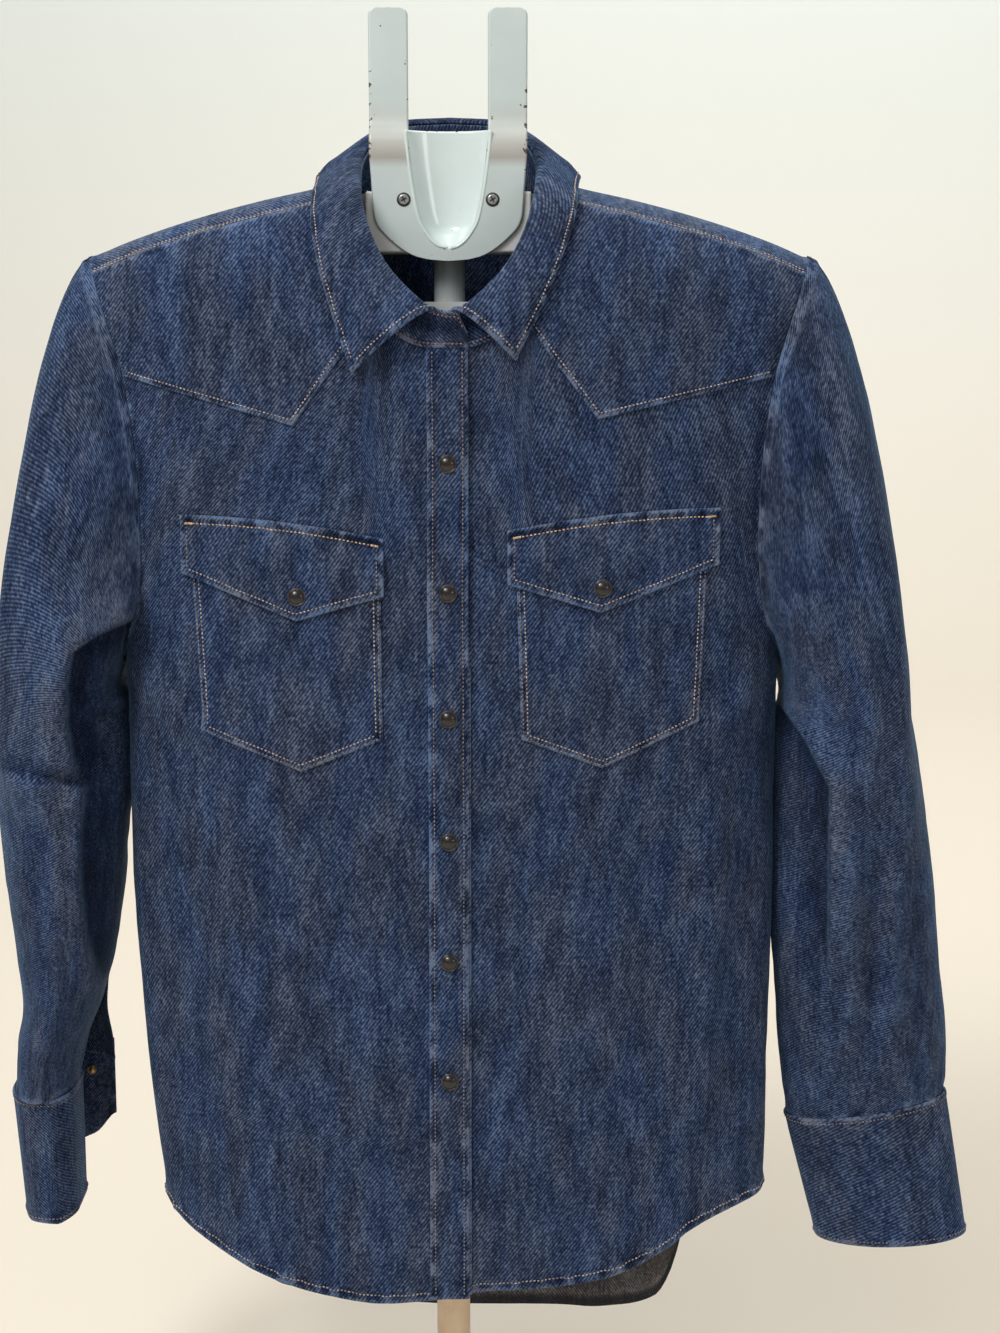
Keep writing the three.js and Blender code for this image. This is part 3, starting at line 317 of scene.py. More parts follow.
FRONT_CREASES = [
    # line of (x, z), half width, rise
    ([(-120, 470), (-135, 380), (-128, 250)], 16, 2.2),
    ([(-60, 455), (-70, 330), (-60, 210)], 18, -1.8),
    ([(-30, 430), (-42, 300), (-36, 180)], 12, 1.4),
    ([(24, 430), (44, 380), (52, 330)], 12, -2.4),
    ([(60, 460), (78, 360), (80, 230)], 16, 2.0),
    ([(120, 460), (128, 350), (120, 240)], 16, -1.8),
    ([(158, 480), (160, 380), (150, 240)], 13, 2.0),
    ([(-186, 530), (-160, 500), (-120, 486)], 9, 1.8),
    ([(188, 530), (168, 500), (140, 488)], 9, 1.8),
    ([(-150, 660), (-165, 620), (-168, 570)], 11, 1.6),
    ([(150, 660), (166, 620), (170, 570)], 11, 1.6),
    ([(30, 740), (60, 700), (80, 690)], 9, 1.0),
]
SNAP_HEIGHTS = [658, 582.5, 507.5, 432.5, 357.5, 282.5]
FLAP_SNAPS = [(-88, 580), (91, 585)]


def front_relief(x, z):
    """How far the creases and the small unevenness lift the fronts, still under the snaps."""
    rise = 2.3 * creased(x, z, FRONT_CREASES)
    rise = rise + 0.5 * mottle(x / 34, z / 60, 1) + 0.25 * mottle(x / 13, z / 17, 2)
    rise = rise * ramp(-20, 40, shoulder(abs(x)) - z)
    still = 1.0
    for sx, sz in [(0.5, h) for h in SNAP_HEIGHTS] + FLAP_SNAPS:
        still = still * (1 - np.exp(-((x - sx) ** 2 + (z - sz) ** 2) / 17**2))
    return rise * still


def front_skin(x, z):
    """The creased face of the fronts at x and z."""
    step = 1.0
    base = lambda a, b: body(-1, turn_of(a, b), b)
    n = np.cross(base(x, z + step) - base(x, z - step), base(x + step, z) - base(x - step, z))
    n /= np.linalg.norm(n, axis=-1, keepdims=True)
    n *= -np.sign(n[..., 1:2] + 1e-9)
    return base(x, z) + n * front_relief(x, z)[..., None]


def grid_normals(skin, middle, closed):
    """Unit normals of a grid of points, all pointing away from the middle point."""
    if closed:
        wide = np.concatenate([skin[:, -2:-1], skin, skin[:, 1:2]], 1)
        across = (wide[:, 2:] - wide[:, :-2])
    else:
        across = np.gradient(skin, axis=1)
    n = np.cross(across, np.gradient(skin, axis=0))
    n /= np.linalg.norm(n, axis=-1, keepdims=True) + 1e-12
    way = np.mean(np.sum(n * (skin - np.array(middle, float)), -1))
    return n * (1 if way >= 0 else -1)


def arcs(skin):
    """Distances over the cloth from the left, right, low and top edges of a grid."""
    across = np.linalg.norm(np.diff(skin, axis=1), axis=-1)
    up = np.linalg.norm(np.diff(skin, axis=0), axis=-1)
    left = np.concatenate([np.zeros((len(skin), 1)), np.cumsum(across, 1)], 1)
    low = np.concatenate([np.zeros((1, skin.shape[1])), np.cumsum(up, 0)], 0)
    return {"left": left, "right": left[:, -1:] - left, "low": low, "top": low[-1:] - low}


PIECES = {}


def cut_cloth(name, skin, middle, lift=0.0, thick=1.0, seams=(), closed=False, flat=None, faces_in=None, wear_and_shade=0.0, band=0.0):
    """A closed thin shell of cloth on a grid of points, its edges turned, sewn and puckered.

    seams: side, how far in the outer stitching is, bead, pucker, pucker length.
    flat: how far along and up the weave each point lies, in millimetres.
    band: how deep the hem is turned up inside, where the cloth shows darker.
    """
    n = grid_normals(skin, middle, closed)
    far = arcs(skin)
    rise = np.zeros(skin.shape[:2]) + lift
    # The colour attribute that the cloth materials read starts from the given per-point values: real wear, and on the
    # collar and sleeves also painted shade and painted highlight.
    shade_and_wear = np.zeros(skin.shape[:2]) + wear_and_shade
    for k, (side, inset, bead, pucker, each) in enumerate(seams):
        d = far[side]
        s = far["low"] if side in ("left", "right") else far["left"]
        wave = mottle((s + 0.45 * d) / each, d / 26, 3 + k) + 0.5 * mottle((s - 0.3 * d) / (0.47 * each), d / 15, 9 + k)
        rise += bead * np.exp(-(((d - 0.5 * inset) / (0.55 * inset)) ** 2))
        rise -= 0.45 * bead * np.exp(-(((d - inset) / 0.9) ** 2))
        rise += pucker * wave * np.exp(-((d / (2.4 * inset + 4)) ** 2)) * ramp(-0.5, 2.5, d)
        edge = np.exp(-((d / 1.3) ** 2)) * (0.55 + 0.45 * mottle(s / 4.1, 0 * s, 20 + k))
        rope = clamp(wave) * np.exp(-(((d - 0.6 * inset) / (1.1 * inset)) ** 2))
        shade_and_wear += 0.8 * edge + 0.6 * rope - 0.5 * clamp(-wave) * np.exp(-(((d - 0.6 * inset) / (1.1 * inset)) ** 2))
    outer = skin + n * rise[..., None]
    inner = outer - n * thick
    rows, cols = rise.shape
    PIECES[name] = {"skin": outer, "n": n, "far": arcs(outer), "closed": closed}

    points = [outer.reshape(-1, 3), inner.reshape(-1, 3)]
    count = rows * cols
    index = np.arange(count).reshape(rows, cols)
    faces, kind = [], []

    def strip(a, b, c, d, which):
        quads = np.stack([a, b, c, d], -1).reshape(-1, 4)
        faces.append(quads)
        kind.append(np.full(len(quads), which))

    a, b, c, d = index[:-1, :-1], index[:-1, 1:], index[1:, 1:], index[1:, :-1]
    if closed:
        wrapped = np.concatenate([index, index[:, :1]], 1)
        a, b, c, d = wrapped[:-1, :-1], wrapped[:-1, 1:], wrapped[1:, 1:], wrapped[1:, :-1]
    strip(a, b, c, d, 0)
    strip(a + count, d + count, c + count, b + count, 1)

    # The turned edge: a row of points pushed out between the two faces.
    def border(line, beside):
        ids = line
        out = outer.reshape(-1, 3)[ids] - outer.reshape(-1, 3)[beside]
        out /= np.linalg.norm(out, axis=-1, keepdims=True) + 1e-12
        middle_row = 0.5 * (outer.reshape(-1, 3)[ids] + inner.reshape(-1, 3)[ids]) + out * 0.42 * thick
        start = sum(len(p) for p in points)
        points.append(middle_row)
        return start + np.arange(len(ids))

    if closed:
        for line, beside, flip in ((index[0], index[1], False), (index[-1], index[-2], True)):
            m = border(line, beside)
            a1, b1 = line, np.roll(line, -1)
            m1, m2 = m, np.roll(m, -1)
            if flip:
                strip(a1, b1, m2, m1, 0)
                strip(m1, m2, b1 + count, a1 + count, 0)
            else:
                strip(b1, a1, m1, m2, 0)
                strip(m2, m1, a1 + count, b1 + count, 0)
    else:
        loop = np.concatenate([index[0, :-1], index[:-1, -1], index[-1, :0:-1], index[:0:-1, 0]])
        near = np.concatenate([index[1, :-1], index[:-1, -2], index[-2, :0:-1], index[:0:-1, 1]])
        corner = {0: index[1, 1], cols - 1: index[1, -2], cols + rows - 2: index[-2, -2], 2 * cols + rows - 3: index[-2, 1]}
        for place, inside in corner.items():
            near[place] = inside
        m = border(loop, near)
        a1, b1, m1, m2 = loop, np.roll(loop, -1), m, np.roll(m, -1)
        strip(b1, a1, m1, m2, 0)
        strip(m2, m1, a1 + count, b1 + count, 0)

    points = np.concatenate(points) / 1000
    faces, kind = np.concatenate(faces), np.concatenate(kind)
    mesh = bpy.data.meshes.new(name)
    mesh.from_pydata(points.tolist(), [], faces.tolist())
    mesh.polygons.foreach_set("material_index", kind.astype(np.int32))
    mesh.shade_smooth()

    along, up = flat if flat is not None else (skin[..., 0], skin[..., 2])
    flat = np.stack([along.ravel(), up.ravel()], -1) / 1000
    edge_ids = np.concatenate([index[0], index[-1]]) if closed else loop
    flat = np.concatenate([flat, flat, flat[edge_ids]])
    layer = mesh.uv_layers.new(name="cloth")
    corners = np.empty(len(mesh.loops), np.int32)
    mesh.loops.foreach_get("vertex_index", corners)
    layer.data.foreach_set("uv", flat[corners].astype(np.float32).ravel())
    inside = 0.5 * shade_and_wear - 1.0 * (far["low"] < band) + 0.5 * np.exp(-(((far["low"] - band) / 0.8) ** 2)) * (band > 0)
    shade_and_wear_at = np.concatenate([shade_and_wear.ravel(), inside.ravel(), np.maximum(shade_and_wear.ravel()[edge_ids], 0.3)])
    attribute = mesh.attributes.new("shade_and_wear", "FLOAT", "POINT")
    attribute.data.foreach_set("value", clamp(shade_and_wear_at, -1.0, 1.4).astype(np.float32))

    # Faces look outwards.
    volume = np.sum(points[faces[:, 0]] * np.cross(points[faces[:, 1]], points[faces[:, 2]]))
    volume += np.sum(points[faces[:, 0]] * np.cross(points[faces[:, 2]], points[faces[:, 3]]))
    if volume < 0:
        mesh.flip_normals()
    piece = bpy.data.objects.new(name, mesh)
    bpy.context.collection.objects.link(piece)
    for material in faces_in or (denim_face, denim_inside):
        piece.data.materials.append(material)
    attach(piece, "root")
    return piece


def node(tree, kind, x=0, y=0, **values):
    made = tree.nodes.new(kind)
    made.location = (x, y)
    for key, value in values.items():
        if key in made.inputs:
            made.inputs[key].default_value = value
        else:
            setattr(made, key, value)
    return made


def weave(name, dark, middle, pale, wear_and_shade_weight, twill, steep, tinted=1.0):
    """A woven indigo twill: lines of yarn, grain, slubs along the warp, clouds, worn edges, and the painted shade and
    painted highlight that the wear attribute also carries.
    """
    material = bpy.data.materials.new(name)
    material.use_nodes = True
    tree = material.node_tree
    link = tree.links.new
    shader = tree.nodes["Principled BSDF"]
    uv = node(tree, "ShaderNodeUVMap", -1500, 0, uv_map="cloth")
    wear_and_shade = node(tree, "ShaderNodeAttribute", -1500, -500, attribute_name="shade_and_wear")

    def cloud(y, across_mm, up_mm, detail, seed):
        move = node(tree, "ShaderNodeMapping", -1300, y)
        move.inputs["Scale"].default_value = (1000 / across_mm, 1000 / up_mm, 1)
        move.inputs["Location"].default_value = (seed, seed * 1.7, 0)
        noise = node(tree, "ShaderNodeTexNoise", -1100, y, noise_dimensions="2D")
        noise.inputs["Scale"].default_value = 1.0
        noise.inputs["Detail"].default_value = detail
        noise.inputs["Roughness"].default_value = 0.55
        link(uv.outputs["UV"], move.inputs["Vector"])
        link(move.outputs["Vector"], noise.inputs["Vector"])
        return noise.outputs["Fac"]

    def work(kind, a, b, clamped=False):
        m = node(tree, "ShaderNodeMath", -700, 0, operation=kind, use_clamp=clamped)
        for i, value in enumerate((a, b)):
            if isinstance(value, (int, float)):
                m.inputs[i].default_value = value
            else:
                link(value, m.inputs[i])
        return m.outputs["Value"]

    grain = cloud(400, 2.8, 3.4, 2.0, 0.3)
    specks = cloud(0, 1.7, 1.9, 1.0, 7.0)
    slubs = cloud(200, 3.0, 14.0, 2.0, 4.0)
    clouds = cloud(-200, 12.0, 34.0, 2.5, 9.0)
    tints = cloud(-700, 26.0, 80.0, 2.0, 12.0)
    turn = node(tree, "ShaderNodeMapping", -1300, -400)
    turn.inputs["Rotation"].default_value = (0, 0, math.radians(steep))
    lines = node(tree, "ShaderNodeTexWave", -1100, -400, wave_type="BANDS", bands_direction="X")
    lines.inputs["Scale"].default_value = 0.314 / (twill / 1000)
    lines.inputs["Distortion"].default_value = 0.9
    lines.inputs["Detail"].default_value = 2.0
    lines.inputs["Detail Scale"].default_value = 1.6
    link(uv.outputs["UV"], turn.inputs["Vector"])
    link(turn.outputs["Vector"], lines.inputs["Vector"])

    parts = ((lines.outputs["Fac"], 0.38), (grain, 0.55), (specks, 0.72), (slubs, 0.42), (clouds, 0.55))
    total = work("ADD", 0.5 - 0.5 * sum(weight for _, weight in parts), 0.0)
    for part, weight in parts:
        total = work("ADD", total, work("MULTIPLY", part, weight))
    # Real wear, painted shade and painted highlight from the cloth's attribute shift the colour.
    rub_and_shade = work("MULTIPLY", work("ADD", grain, 0.35), wear_and_shade.outputs["Fac"])
    total = work("ADD", total, work("MULTIPLY", rub_and_shade, wear_and_shade_weight), True)
    shades = node(tree, "ShaderNodeValToRGB", -300, 200)
    stops = shades.color_ramp.elements
    stops[0].position, stops[0].color = 0.05, (*dark, 1)
    stops[1].position, stops[1].color = 1.0, (*pale, 1)
    stops.new(0.5).color = (*middle, 1)
    link(total, shades.inputs["Fac"])
    casts = node(tree, "ShaderNodeValToRGB", -300, 400)
    casts.color_ramp.elements[0].position, casts.color_ramp.elements[0].color = 0.36, (0.90, 1.0, 1.11, 1)
    casts.color_ramp.elements[1].position, casts.color_ramp.elements[1].color = 0.64, (1.08, 0.98, 0.90, 1)
    link(tints, casts.inputs["Fac"])
    colour = node(tree, "ShaderNodeMix", -100, 300, data_type="RGBA", blend_type="MULTIPLY")
    colour.inputs["Factor"].default_value = tinted
    link(shades.outputs["Color"], colour.inputs["A"])
    link(casts.outputs["Color"], colour.inputs["B"])
    link(colour.outputs["Result"], shader.inputs["Base Color"])
    rough = node(tree, "ShaderNodeMapRange", -300, -150)
    rough.inputs["To Min"].default_value = 0.95
    rough.inputs["To Max"].default_value = 0.8
    link(total, rough.inputs["Value"])
    link(rough.outputs["Result"], shader.inputs["Roughness"])
    shader.inputs["Specular IOR Level"].default_value = 0.12
    shader.inputs["Sheen Weight"].default_value = 0.16
    shader.inputs["Sheen Roughness"].default_value = 0.45
    shader.inputs["Sheen Tint"].default_value = (0.32, 0.60, 1.0, 1)
    height = work("ADD", work("MULTIPLY", lines.outputs["Fac"], 0.6), work("MULTIPLY", specks, 0.8))
    height = work("ADD", height, work("MULTIPLY", grain, 0.8))
    bump = node(tree, "ShaderNodeBump", -300, -400)
    bump.inputs["Strength"].default_value = 0.4
    bump.inputs["Distance"].default_value = 0.0006
    link(height, bump.inputs["Height"])
    link(bump.outputs["Normal"], shader.inputs["Normal"])
    return material


INDIGO = [(0.0026, 0.0055, 0.0170), (0.0205, 0.0345, 0.0815), (0.125, 0.168, 0.265)]
WRONG_SIDE = [(0.030, 0.030, 0.036), (0.090, 0.084, 0.086), (0.24, 0.225, 0.215)]
denim_face = weave("denim_face", *INDIGO, 0.85, 1.85, 37)
denim_sleeve = weave("denim_sleeve", *INDIGO, 0.85, 1.85, 62)
denim_inside = weave("denim_inside", *WRONG_SIDE, 0.6, 1.85, -37, 0.4)


def even(low, high, count, edge=0.0):
    """Even stations, with one more close beside each end for the turned edge."""
    t = np.linspace(low, high, count)
    if edge:
        t = np.concatenate([[low, low + edge * (high - low)], t[1:-1], [high - edge * (high - low), high]])
    return t


def neck_at(x):
    return mix(NECK_FRONT, shoulder(NECK_HALF), clamp(abs(x) / NECK_HALF) ** 3.2)


front_hem_at = columns(
    "x z",
    [
        (-184, 186), (-178, 182), (-168, 174.5), (-148, 165), (-119, 153.5), (-76, 142.5), (-44, 138.5), (-8, 141.5),
        (20, 146), (51, 148), (94, 153), (136, 170), (149, 178), (181, 187.5), (202, 191),
    ],
)["z"]
back_hem_at = columns(
    "x z",
    [
        (-184, 186), (-178, 177), (-160, 130), (-120, 76), (-60, 60), (0, 55), (86, 54.5), (119, 60), (140, 70),
        (148, 84), (154, 106), (160, 140), (169, 174), (202, 191),
    ],
)["z"]


def hem_x(turn):
    return np.where(turn < 0, -184, 202) * abs(np.sin(np.radians(turn))) ** (2 / SQUARENESS)


def front_hem(turn):
    return front_hem_at(hem_x(turn))


def back_hem(turn):
    return back_hem_at(hem_x(turn))


def front_top(x):
    return np.minimum(neck_at(x), shoulder(abs(x)) - YOKE_DROP) - 3 * SEAM


def panel_reach(z):
    return np.minimum(89.87, reach(z))


def meets(edge, face, share):
    """The height at which a line of constant share of the reach comes to the top edge."""
    low, high = np.full(share.shape, 600.0), np.full(share.shape, 830.0)
    for _ in range(30):
        z = (low + high) / 2
        under = z < edge(body(face, share * panel_reach(z), z)[..., 0])
        low, high = np.where(under, z, low), np.where(under, high, z)
    return low


ARMPIT_SHARE = 0.6


def row_height(v, low, top):
    below = mix(low, UNDERARM, v / ARMPIT_SHARE)
    return np.where(v <= ARMPIT_SHARE, below, mix(UNDERARM, top, (v - ARMPIT_SHARE) / (1 - ARMPIT_SHARE)))


def even_shares(low, high, count, edge):
    """Shares of the reach whose points lie evenly across the cloth at the armpit."""
    fine = np.linspace(low, high, 2000)
    run = body(-1, fine * 90, np.full(2000, float(UNDERARM)))
    far = np.concatenate([[0], np.cumsum(np.linalg.norm(np.diff(run, axis=0), axis=1))])
    return np.interp(even(0, far[-1], count, edge), far, fine)


def weave_round(skin):
    """Where a panel that wraps the body lies on its weave, measured round from the centre."""
    round_mm = np.sign(skin[:, 1:2, 0] - skin[:, :1, 0]) * arcs(skin)["left"]
    centre = np.argmin(abs(skin[..., 0]), axis=1)[:, None]
    return round_mm - np.take_along_axis(round_mm, centre, 1), skin[..., 2]


FRONT_STEP = 1.6 + 2 * SEAM  # how far the under front steps back beneath the lap

for side, name, other in ((-1, "front_right", "front_left"), (1, "front_left", "front_right")):
    share = side * even_shares(-LAP_SHARE, 1.0, 124, 0.003)
    down = even(0, 1, 214, 0.001)
    share, down = np.meshgrid(share, down)
    hem = front_hem(share * 90)
    z = row_height(down, hem, meets(front_top, -1, share))
    skin = body(-1, share * panel_reach(z), z)
    n = grid_normals(skin, (0, 0, 400), False)
    skin += n * front_relief(skin[..., 0], skin[..., 2])[..., None]
    if side > 0:
        skin[..., 1] += FRONT_STEP * (1 - ramp(LAP + 8, LAP + 28, skin[..., 0]))
    piece = cut_cloth(
        name + "_cloth", skin, (0, 0, 400), thick=1.1, flat=weave_round(skin),
        band=8.5, seams=[("low", 4.6, 1.1, 1.1, 5.5), ("right", 2.4, 0.5, 0.5, 13), ("left", 4, 0.3, 0.25, 14)],
    )
    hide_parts(name)


# The back: one panel with a long curved tail, sewn to the pointed yoke above and to the
# fronts at the sides. Its wrong side shows below the front hem.
yoke_seam = columns("out z", [(0, 684), (55, 700), (120, 716), (200, 708)])["z"]
BACK_CREASES = [
    ([(-120, 690), (-110, 560), (-96, 400)], 15, 2.6),
    ([(-60, 680), (-56, 520), (-48, 330)], 14, -2.2),
    ([(0, 660), (4, 500), (-2, 260)], 17, 2.4),
    ([(62, 680), (58, 520), (52, 330)], 14, -2.2),
    ([(122, 690), (112, 560), (100, 400)], 15, 2.6),
    ([(-180, 520), (-140, 470), (-100, 452)], 10, 2.4),
    ([(182, 520), (142, 470), (104, 452)], 10, 2.4),
    ([(-150, 330), (-120, 200), (-90, 120)], 17, 2.4),
    ([(150, 330), (124, 200), (96, 120)], 17, 2.4),
]


def back_relief(x, z):
    rise = creased(x, z, BACK_CREASES)
    rise = rise + 0.6 * mottle(x / 36, z / 70, 4) + 0.3 * mottle(x / 13, z / 18, 5)
    return rise * ramp(0, 60, shoulder(abs(x)) - z)


share, down = np.meshgrid(even_shares(-1, 1, 138, 0.002), even(0, 1, 176, 0.001))
z = row_height(down, back_hem(share * 90), meets(lambda x: yoke_seam(abs(x)) - 3 * SEAM, 1, share))
skin = body(1, share * panel_reach(z), z)
n = grid_normals(skin, (0, 0, 400), False)
skin += n * back_relief(skin[..., 0], skin[..., 2])[..., None]
back = cut_cloth(
    "back_cloth", skin, (0, 0, 400), thick=1.1, flat=weave_round(skin), band=8.5,
    seams=[("low", 4.6, 0.9, 1.1, 6), ("top", 3, 0.2, 0.5, 14), ("left", 3, 0.4, 0.5, 13), ("right", 3, 0.4, 0.5, 13)],
)
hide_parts("back")


# The back yoke: a double layer that carries the shirt on the hanger's arms, from the seams a
# little forward of the shoulders over to a seam that dips to a point between the shoulder blades.
CREST = 80


def height_down(t):
    far = abs(t)
    return np.where(far < CREST, SHOULDER_ROUND * (1 - np.cos(far / CREST * np.pi / 2)), SHOULDER_ROUND + far - CREST)


def over_shoulder(x, t):
    z = shoulder(abs(x)) - height_down(t)
    return body(np.where(t < 0, -1.0, 1.0), turn_of(x, z), z)


def down_of(x, z):
    h = shoulder(abs(x)) - z
    arc = CREST * np.arccos(clamp(1 - h / SHOULDER_ROUND, -1, 1)) / (np.pi / 2)
    return np.where(h >= SHOULDER_ROUND, CREST + h - SHOULDER_ROUND, arc)


SEAM_DOWN = float(down_of(100.0, shoulder(100.0) - YOKE_DROP))


def neckline_flat(bearing):
    x = NECK_HALF * np.sin(np.radians(bearing))
    deep = BODY["back"](shoulder(abs(x))) * 0.97
    behind = CREST * np.arcsin(clamp(NECK_BACK * np.cos(np.radians(abs(bearing))) / deep, -1, 1)) / (np.pi / 2)
    return x, np.where(abs(bearing) <= 90, behind, -down_of(x, neck_at(x)))


def neckline(bearing):
    return over_shoulder(*neckline_flat(bearing))


neck_end = 90.0
while neckline_flat(np.array(neck_end))[1] > -SEAM_DOWN:
    neck_end += 0.25
YOKE_TURNS = 0.31


def yoke_outer(u):
    side, near = np.where(u < 0.5, -1, 1), np.minimum(u, 1 - u)
    t = mix(-SEAM_DOWN, float(down_of(196.0, yoke_seam(196.0))), near / YOKE_TURNS)
    z = shoulder(213.0) - height_down(t)
    arm = body(1, side * reach(z), z)[..., 0]
    x = mix(-1, 1, (u - YOKE_TURNS) / (1 - 2 * YOKE_TURNS)) * 196
    x = np.clip(x, -196, 196)
    round_arm = near < YOKE_TURNS
    return np.where(round_arm, arm, x), np.where(round_arm, t, down_of(x, yoke_seam(abs(x))))


u, v = np.meshgrid(even(0, 1, 150, 0.002), even(0, 1, 44, 0.006))
ax, at = neckline_flat(mix(-neck_end, neck_end, u))
bx, bt = yoke_outer(u)
yoke_x, yoke_down = mix(ax, bx, v), mix(at, bt, v)
skin = over_shoulder(yoke_x, yoke_down)
# Paler along the crest of the shoulders.
yoke = cut_cloth(
    "back_yoke_cloth", skin, (0, 0, 640), thick=1.2, lift=0.35, flat=(yoke_x, -yoke_down),
    faces_in=(denim_face, denim_face), wear_and_shade=0.3 * np.exp(-((yoke_down / 34) ** 2)),
    seams=[("top", 3.0, 0.7, 0.5, 12), ("left", 2.2, 0.8, 0.5, 8), ("right", 2.2, 0.8, 0.5, 8)],
)
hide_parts("back_yoke")


# The front yokes: pointed pieces laid on the fronts and sewn down with a row of tan thread.
FRONT_YOKES = [
    # side, name, neck x, neck z, tip x, tip z, height at the armhole
    (-1, "front_yoke_right", 44, 745, 90, 680, 708),
    (1, "front_yoke_left", 44, 742, 88, 684, 708),
]
YOKE_TIP = 0.38


def laid_on(x, z, lift, step=1.0):
    """Points that stand off the creased fronts by lift."""
    n = np.cross(front_skin(x, z + step) - front_skin(x, z - step), front_skin(x + step, z) - front_skin(x - step, z))
    n /= np.linalg.norm(n, axis=-1, keepdims=True)
    n *= -np.sign(n[..., 1:2] + 1e-9)
    return front_skin(x, z) + n * np.asarray(lift)[..., None]


def stations_by(parts, edge):
    """Stations in stretches: ends and counts, with close ones beside the first and last."""
    t = np.concatenate([np.linspace(a, b, c, endpoint=False) for a, b, c in parts] + [[parts[-1][1]]])
    return np.concatenate([[t[0], t[0] + edge], t[1:-1], [t[-1] - edge, t[-1]]])


for side, name, neck_x, neck_z, tip_x, tip_z, arm_z in FRONT_YOKES:
    arm_x = abs(float(body(-1, side * reach(np.array(float(arm_z))), float(arm_z))[0])) - 2.5
    u, v = np.meshgrid(stations_by([(0, YOKE_TIP, 24), (YOKE_TIP, 1, 42)], 0.004), even(0, 1, 46, 0.006))
    low_x = np.where(u < YOKE_TIP, mix(neck_x, tip_x, u / YOKE_TIP), mix(tip_x, arm_x, (u - YOKE_TIP) / (1 - YOKE_TIP)))
    low_z = np.where(u < YOKE_TIP, mix(neck_z, tip_z, u / YOKE_TIP), mix(tip_z, arm_z, (u - YOKE_TIP) / (1 - YOKE_TIP)))
    high_x = mix(NECK_HALF - 1, 217 - 4.5, u)
    x, z = mix(low_x, high_x, v), mix(low_z, shoulder(high_x) - YOKE_DROP - 2 * SEAM, v)
    skin = laid_on(side * x, z, np.full(x.shape, 1.3))
    piece = cut_cloth(
        name + "_cloth", skin, (0, 0, 640), thick=1.1,
        seams=[("low", 2.4, 0.6, 0.4, 11), ("top", 2.2, 0.4, 0.4, 13)],
    )
    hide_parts(name)


# The placket: a 24 mm band folded and sewn along both edges, down the lapping front.
BAND_LEFT, BAND_RIGHT = -11.5, 12.2

u, v = np.meshgrid(even(0, 1, 14, 0.03), even(0, 1, 236, 0.001))
x, z = mix(BAND_LEFT, BAND_RIGHT, u), mix(front_hem(0.0) + 0.4, NECK_FRONT - 1.5, v)
x = x + 0.35 * mottle(z / 45, 0 * z, 6)
crown = 1.3 + 0.85 * np.sqrt(np.sin(np.pi * clamp(u, 0.002, 0.998)))
skin = laid_on(x, z, crown)
placket = cut_cloth(
    "placket_cloth", skin, (0, 0, 400), thick=1.1,
    seams=[("left", 3.0, 0.3, 0.28, 10), ("right", 3.0, 0.3, 0.28, 10), ("low", 5.2, 0.3, 0.3, 9)],
)
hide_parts("placket")


# The chest pockets and their flaps: single pieces with turned edges, pointed at the foot.
POCKETS = [
    # side, name, top inner x and z, top outer x and z, foot inner x and z, tip x and z, foot outer x and z
    (-1, "pocket_right", (39.5, 584), (152, 596), (39, 495), (88, 474.5), (147, 498)),
    (1, "pocket_left", (41, 590), (154, 598), (44, 495), (92, 477), (150, 503)),
]
FLAPS = [
    (-1, "flap_right", (37.5, 614), (157, 627), (37.5, 581), (89, 566), (157, 593)),
    (1, "flap_left", (35.7, 619), (160, 631), (35.7, 588), (90, 571), (160, 598)),
]
PATCH_TIP = 0.46


def pointed_patch(side, top_in, top_out, foot_in, tip, foot_out, u, v):
    inner = u < PATCH_TIP
    t = np.where(inner, u / PATCH_TIP, (u - PATCH_TIP) / (1 - PATCH_TIP))
    x = mix(mix(top_in[0], top_out[0], u), np.where(inner, mix(foot_in[0], tip[0], t), mix(tip[0], foot_out[0], t)), v)
    top_z = mix(top_in[1], top_out[1], u) + 3 * np.sin(np.pi * u)
    z = mix(top_z, np.where(inner, mix(foot_in[1], tip[1], t), mix(tip[1], foot_out[1], t)), v)
    return side * x, z


for side, name, *corners in POCKETS:
    u, v = np.meshgrid(stations_by([(0, PATCH_TIP, 46), (PATCH_TIP, 1, 54)], 0.004), even(0, 1, 72, 0.005))
    x, z = pointed_patch(side, *corners, u, v)
    puff = 0.5 * np.sin(np.pi * u) ** 0.7 * np.sin(np.pi * clamp(v * 0.9))
    skin = laid_on(x, z, 1.25 + puff)
    piece = cut_cloth(
        name + "_cloth", skin, (0, 0, 540), thick=1.0,
        seams=[("left", 2.0, 0.4, 0.35, 6), ("right", 2.0, 0.4, 0.35, 6), ("top", 2.0, 0.4, 0.4, 6)],
    )
    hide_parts(name)

for side, name, *corners in FLAPS:
    u, v = np.meshgrid(stations_by([(0, PATCH_TIP, 60), (PATCH_TIP, 1, 70)], 0.004), even(0, 1, 50, 0.008))
    x, z = pointed_patch(side, *corners, u, v)
    skin = laid_on(x, z, 1.25 + 2.75 * ramp(0.0, 0.5, v))
    piece = cut_cloth(
        name + "_cloth", skin, (0, 0, 540), thick=1.2,
        seams=[("left", 2.2, 0.4, 0.35, 6), ("right", 2.2, 0.4, 0.35, 6), ("top", 2.6, 0.5, 0.45, 6), ("low", 3.6, 1.3, 0.8, 5)],
    )
    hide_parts(name)


